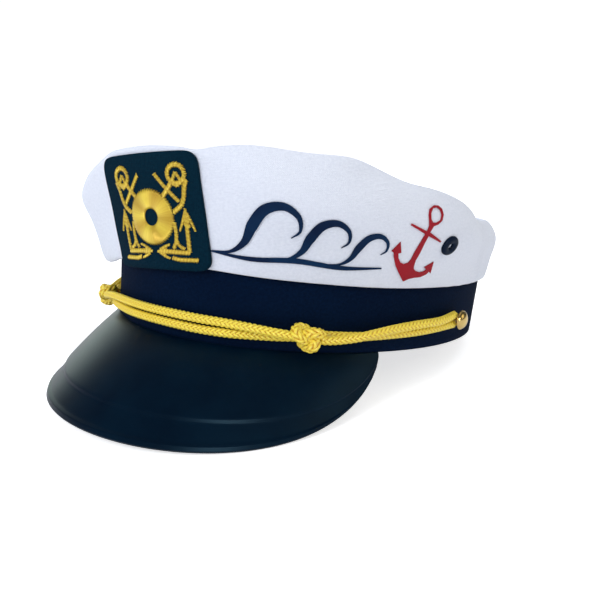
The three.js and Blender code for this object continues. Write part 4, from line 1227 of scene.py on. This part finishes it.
# %% [markdown]
# The red anchor and the navy waves are cut from thin coloured film and pressed on the wall with
# heat. Each outline is drawn flat in millimetres, given its thickness, cut into narrow cells so
# that it can bend, and then laid on the crown point by point.

# %% Press the ornaments on the wall
FILM_THICKNESS = 0.35 * MM
FILM_LIFT = 0.12 * MM
FILM_CELL = 1.6
ANCHOR_TURN = math.radians(64.5)
WALL_REACH = 97.67


def flat_body(name, outline):
    """A thin plate 1 high from a closed outline in millimetres."""
    piece = mesh_piece(name, [(x, y, 0) for x, y in outline], [range(len(outline))], RED_FILM)
    only_select(piece)
    bpy.ops.object.mode_set(mode="EDIT")
    bpy.ops.mesh.select_all(action="SELECT")
    bpy.ops.mesh.normals_make_consistent(inside=False)
    bpy.ops.mesh.extrude_region_move(TRANSFORM_OT_translate={"value": (0, 0, 1)})
    bpy.ops.mesh.select_all(action="SELECT")
    bpy.ops.mesh.normals_make_consistent(inside=False)
    bpy.ops.object.mode_set(mode="OBJECT")
    return piece


def joined(pieces):
    """One body from flat ones that overlap."""
    whole = pieces[0]
    for other in pieces[1:]:
        apply_modifier(whole, "BOOLEAN", operation="UNION", object=other, solver="EXACT")
        bpy.data.objects.remove(other)
    return whole


def stroke_outline(line, half_widths, round_steps=5):
    """The outline of a brush stroke along a line, with round ends."""
    line = np.array(line, dtype=float)
    ahead = np.gradient(line, axis=0)
    ahead /= np.linalg.norm(ahead, axis=1, keepdims=True)
    beside = np.stack([-ahead[:, 1], ahead[:, 0]], axis=1)
    halves = np.asarray(half_widths, dtype=float)[:, None]
    left, right = line + beside * halves, line - beside * halves
    cap_angles = np.linspace(0, math.pi, round_steps + 2)[1:-1]
    last_cap = [
        line[-1] + halves[-1] * (beside[-1] * math.cos(a) + ahead[-1] * math.sin(a)) for a in cap_angles
    ]
    first_cap = [
        line[0] - halves[0] * (beside[0] * math.cos(a) + ahead[0] * math.sin(a)) for a in cap_angles
    ]
    return [*left, *last_cap, *right[::-1], *first_cap]


def cut_in_cells(piece):
    """Cuts a flat body along a square grid, so that it can follow a curved wall."""
    builder = bmesh.new()
    builder.from_mesh(piece.data)
    xs = [vertex.co.x for vertex in builder.verts]
    ys = [vertex.co.y for vertex in builder.verts]
    for axis, values in ((0, xs), (1, ys)):
        place = math.floor(min(values) / FILM_CELL) * FILM_CELL + FILM_CELL
        while place < max(values):
            normal, spot = [0, 0, 0], [0, 0, 0]
            normal[axis], spot[axis] = 1, place
            everything = builder.verts[:] + builder.edges[:] + builder.faces[:]
            bmesh.ops.bisect_plane(builder, geom=everything, plane_co=spot, plane_no=normal, dist=0.0005)
            place += FILM_CELL
    bmesh.ops.triangulate(builder, faces=builder.faces[:])
    builder.to_mesh(piece.data)
    builder.free()


def lay_on_wall(piece, side_shift, up_shift, material):
    """Bends a flat body in millimetres onto the crown's outer skin, round the anchor's turn."""
    for vertex in piece.data.vertices:
        side, up, level = vertex.co
        turn = ANCHOR_TURN + (side + side_shift) / WALL_REACH
        height = band_top(turn) + (up + up_shift) * MM
        point, outward = meet_from_outside(crown_skin, turn, height)
        vertex.co = LEVEL @ (point + outward * (FILM_LIFT + level * FILM_THICKNESS))
    piece.data.materials.clear()
    piece.data.materials.append(material)
    only_select(piece)
    bpy.ops.object.shade_smooth_by_angle(angle=math.radians(35))


ANCHOR_OUTLINE = [
    (3.3, 3.3), (0.5, 6.2), (-2.4, 9.5), (-4.4, 13.2), (-5.1, 15.1), (-6.1, 15.5), (-3.7, 19.4),
    (-2.0, 15.2), (-3.1, 14.8), (-2.4, 13.0), (-0.9, 11.2), (0.8, 10.6), (2.6, 11.2), (3.3, 12.6),
    (3.8, 16.5), (4.7, 20.3), (5.4, 22.8), (5.3, 23.2), (-1.3, 26.0), (-1.1, 26.7), (6.0, 24.3),
    (6.4, 26.4), (6.2, 28.0), (5.9, 30.5), (6.4, 32.8), (8.4, 34.3), (10.6, 34.4), (12.3, 33.3),
    (12.8, 31.1), (12.1, 28.8), (10.3, 27.2), (8.4, 26.4), (7.3, 24.0), (13.9, 20.9), (13.6, 20.3),
    (7.1, 22.5), (6.5, 19.8), (6.2, 15.6), (5.6, 12.4), (5.8, 9.9), (6.2, 8.9), (7.5, 7.9),
    (9.8, 7.4), (11.7, 7.8), (12.6, 8.7), (11.1, 9.6), (14.8, 12.1), (15.7, 7.1), (14.3, 7.9),
    (13.7, 6.7), (11.1, 5.4), (7.9, 5.0), (5.7, 4.5),
]
RING_HOLE = [
    (7.9, 33.1), (9.7, 33.6), (11.2, 32.9), (11.9, 31.1), (11.3, 29.0), (9.5, 27.9), (7.8, 27.8),
    (7.0, 29.0), (6.9, 31.2),
]
ANCHOR_SIDE = -3.24
anchor = flat_body("anchor_film", ANCHOR_OUTLINE)
ring_hole = flat_body("ring_hole", RING_HOLE)
ring_hole.data.transform(Matrix.Translation((0, 0, -0.5)) @ Matrix.Scale(2, 4, (0, 0, 1)))
apply_modifier(anchor, "BOOLEAN", operation="DIFFERENCE", object=ring_hole, solver="EXACT")
bpy.data.objects.remove(ring_hole)
cut_in_cells(anchor)
lay_on_wall(anchor, ANCHOR_SIDE, 0.0, RED_FILM)
finish_piece(anchor, "red_film", "anchor_applique")

# %% [markdown]
# The waves run along the wall: each climbs from a base line and curls over, and they get smaller
# towards the back. The strokes swell and taper as a brush's do.

# %% Press the waves on the wall
WAVE_HEIGHT = 21.0
WAVE_UP = 8.0
WAVE_TO_ANCHOR = 11.5
BRUSH = 2.3
BRUSH_STEPS = 7
WAVE_LINE = [
    {"side": 0.00, "up": 0.00, "half": 0.11},
    {"side": 0.40, "up": 0.04, "half": 0.24},
    {"side": 0.68, "up": 0.24, "half": 0.57},
    {"side": 0.84, "up": 0.56, "half": 0.91},
    {"side": 1.06, "up": 0.86, "half": 0.83},
    {"side": 1.36, "up": 0.95, "half": 0.61},
    {"side": 1.60, "up": 0.80, "half": 0.41},
    {"side": 1.64, "up": 0.56, "half": 0.22},
    {"side": 1.50, "up": 0.42, "half": 0.05},
]
WAVES = [{"start": 0.0, "size": 1.0}, {"start": 1.14, "size": 0.8}, {"start": 2.1, "size": 0.64}]
WAVE_BASE = [
    {"side": 0.00, "up": 0.00, "half": 0.10},
    {"side": 0.80, "up": -0.05, "half": 0.36},
    {"side": 1.60, "up": 0.01, "half": 0.44},
    {"side": 2.40, "up": -0.04, "half": 0.36},
    {"side": 3.14, "up": 0.01, "half": 0.10},
]


def brush_stroke(name, rows, start, size):
    """A flat body along a smooth line of rows, as wide at each row as it says."""
    points = [
        (WAVE_HEIGHT * (start + row["side"] * size), WAVE_HEIGHT * row["up"] * size) for row in rows
    ]
    line = curve_through(points, BRUSH_STEPS)
    at_rows = np.linspace(0, 1, len(rows))
    halves = np.interp(np.linspace(0, 1, len(line)), at_rows, [row["half"] for row in rows])
    return flat_body(name, stroke_outline(line, halves * BRUSH * size))


waves = joined([
    brush_stroke("wave_film", WAVE_BASE, 0.0, 1.0),
    *[brush_stroke("wave", WAVE_LINE, wave["start"], wave["size"]) for wave in WAVES],
])
cut_in_cells(waves)
wave_length = WAVE_BASE[-1]["side"] * WAVE_HEIGHT
lay_on_wall(waves, -wave_length - WAVE_TO_ANCHOR, WAVE_UP, NAVY_FILM)
finish_piece(waves, "navy_film", "wave_applique")
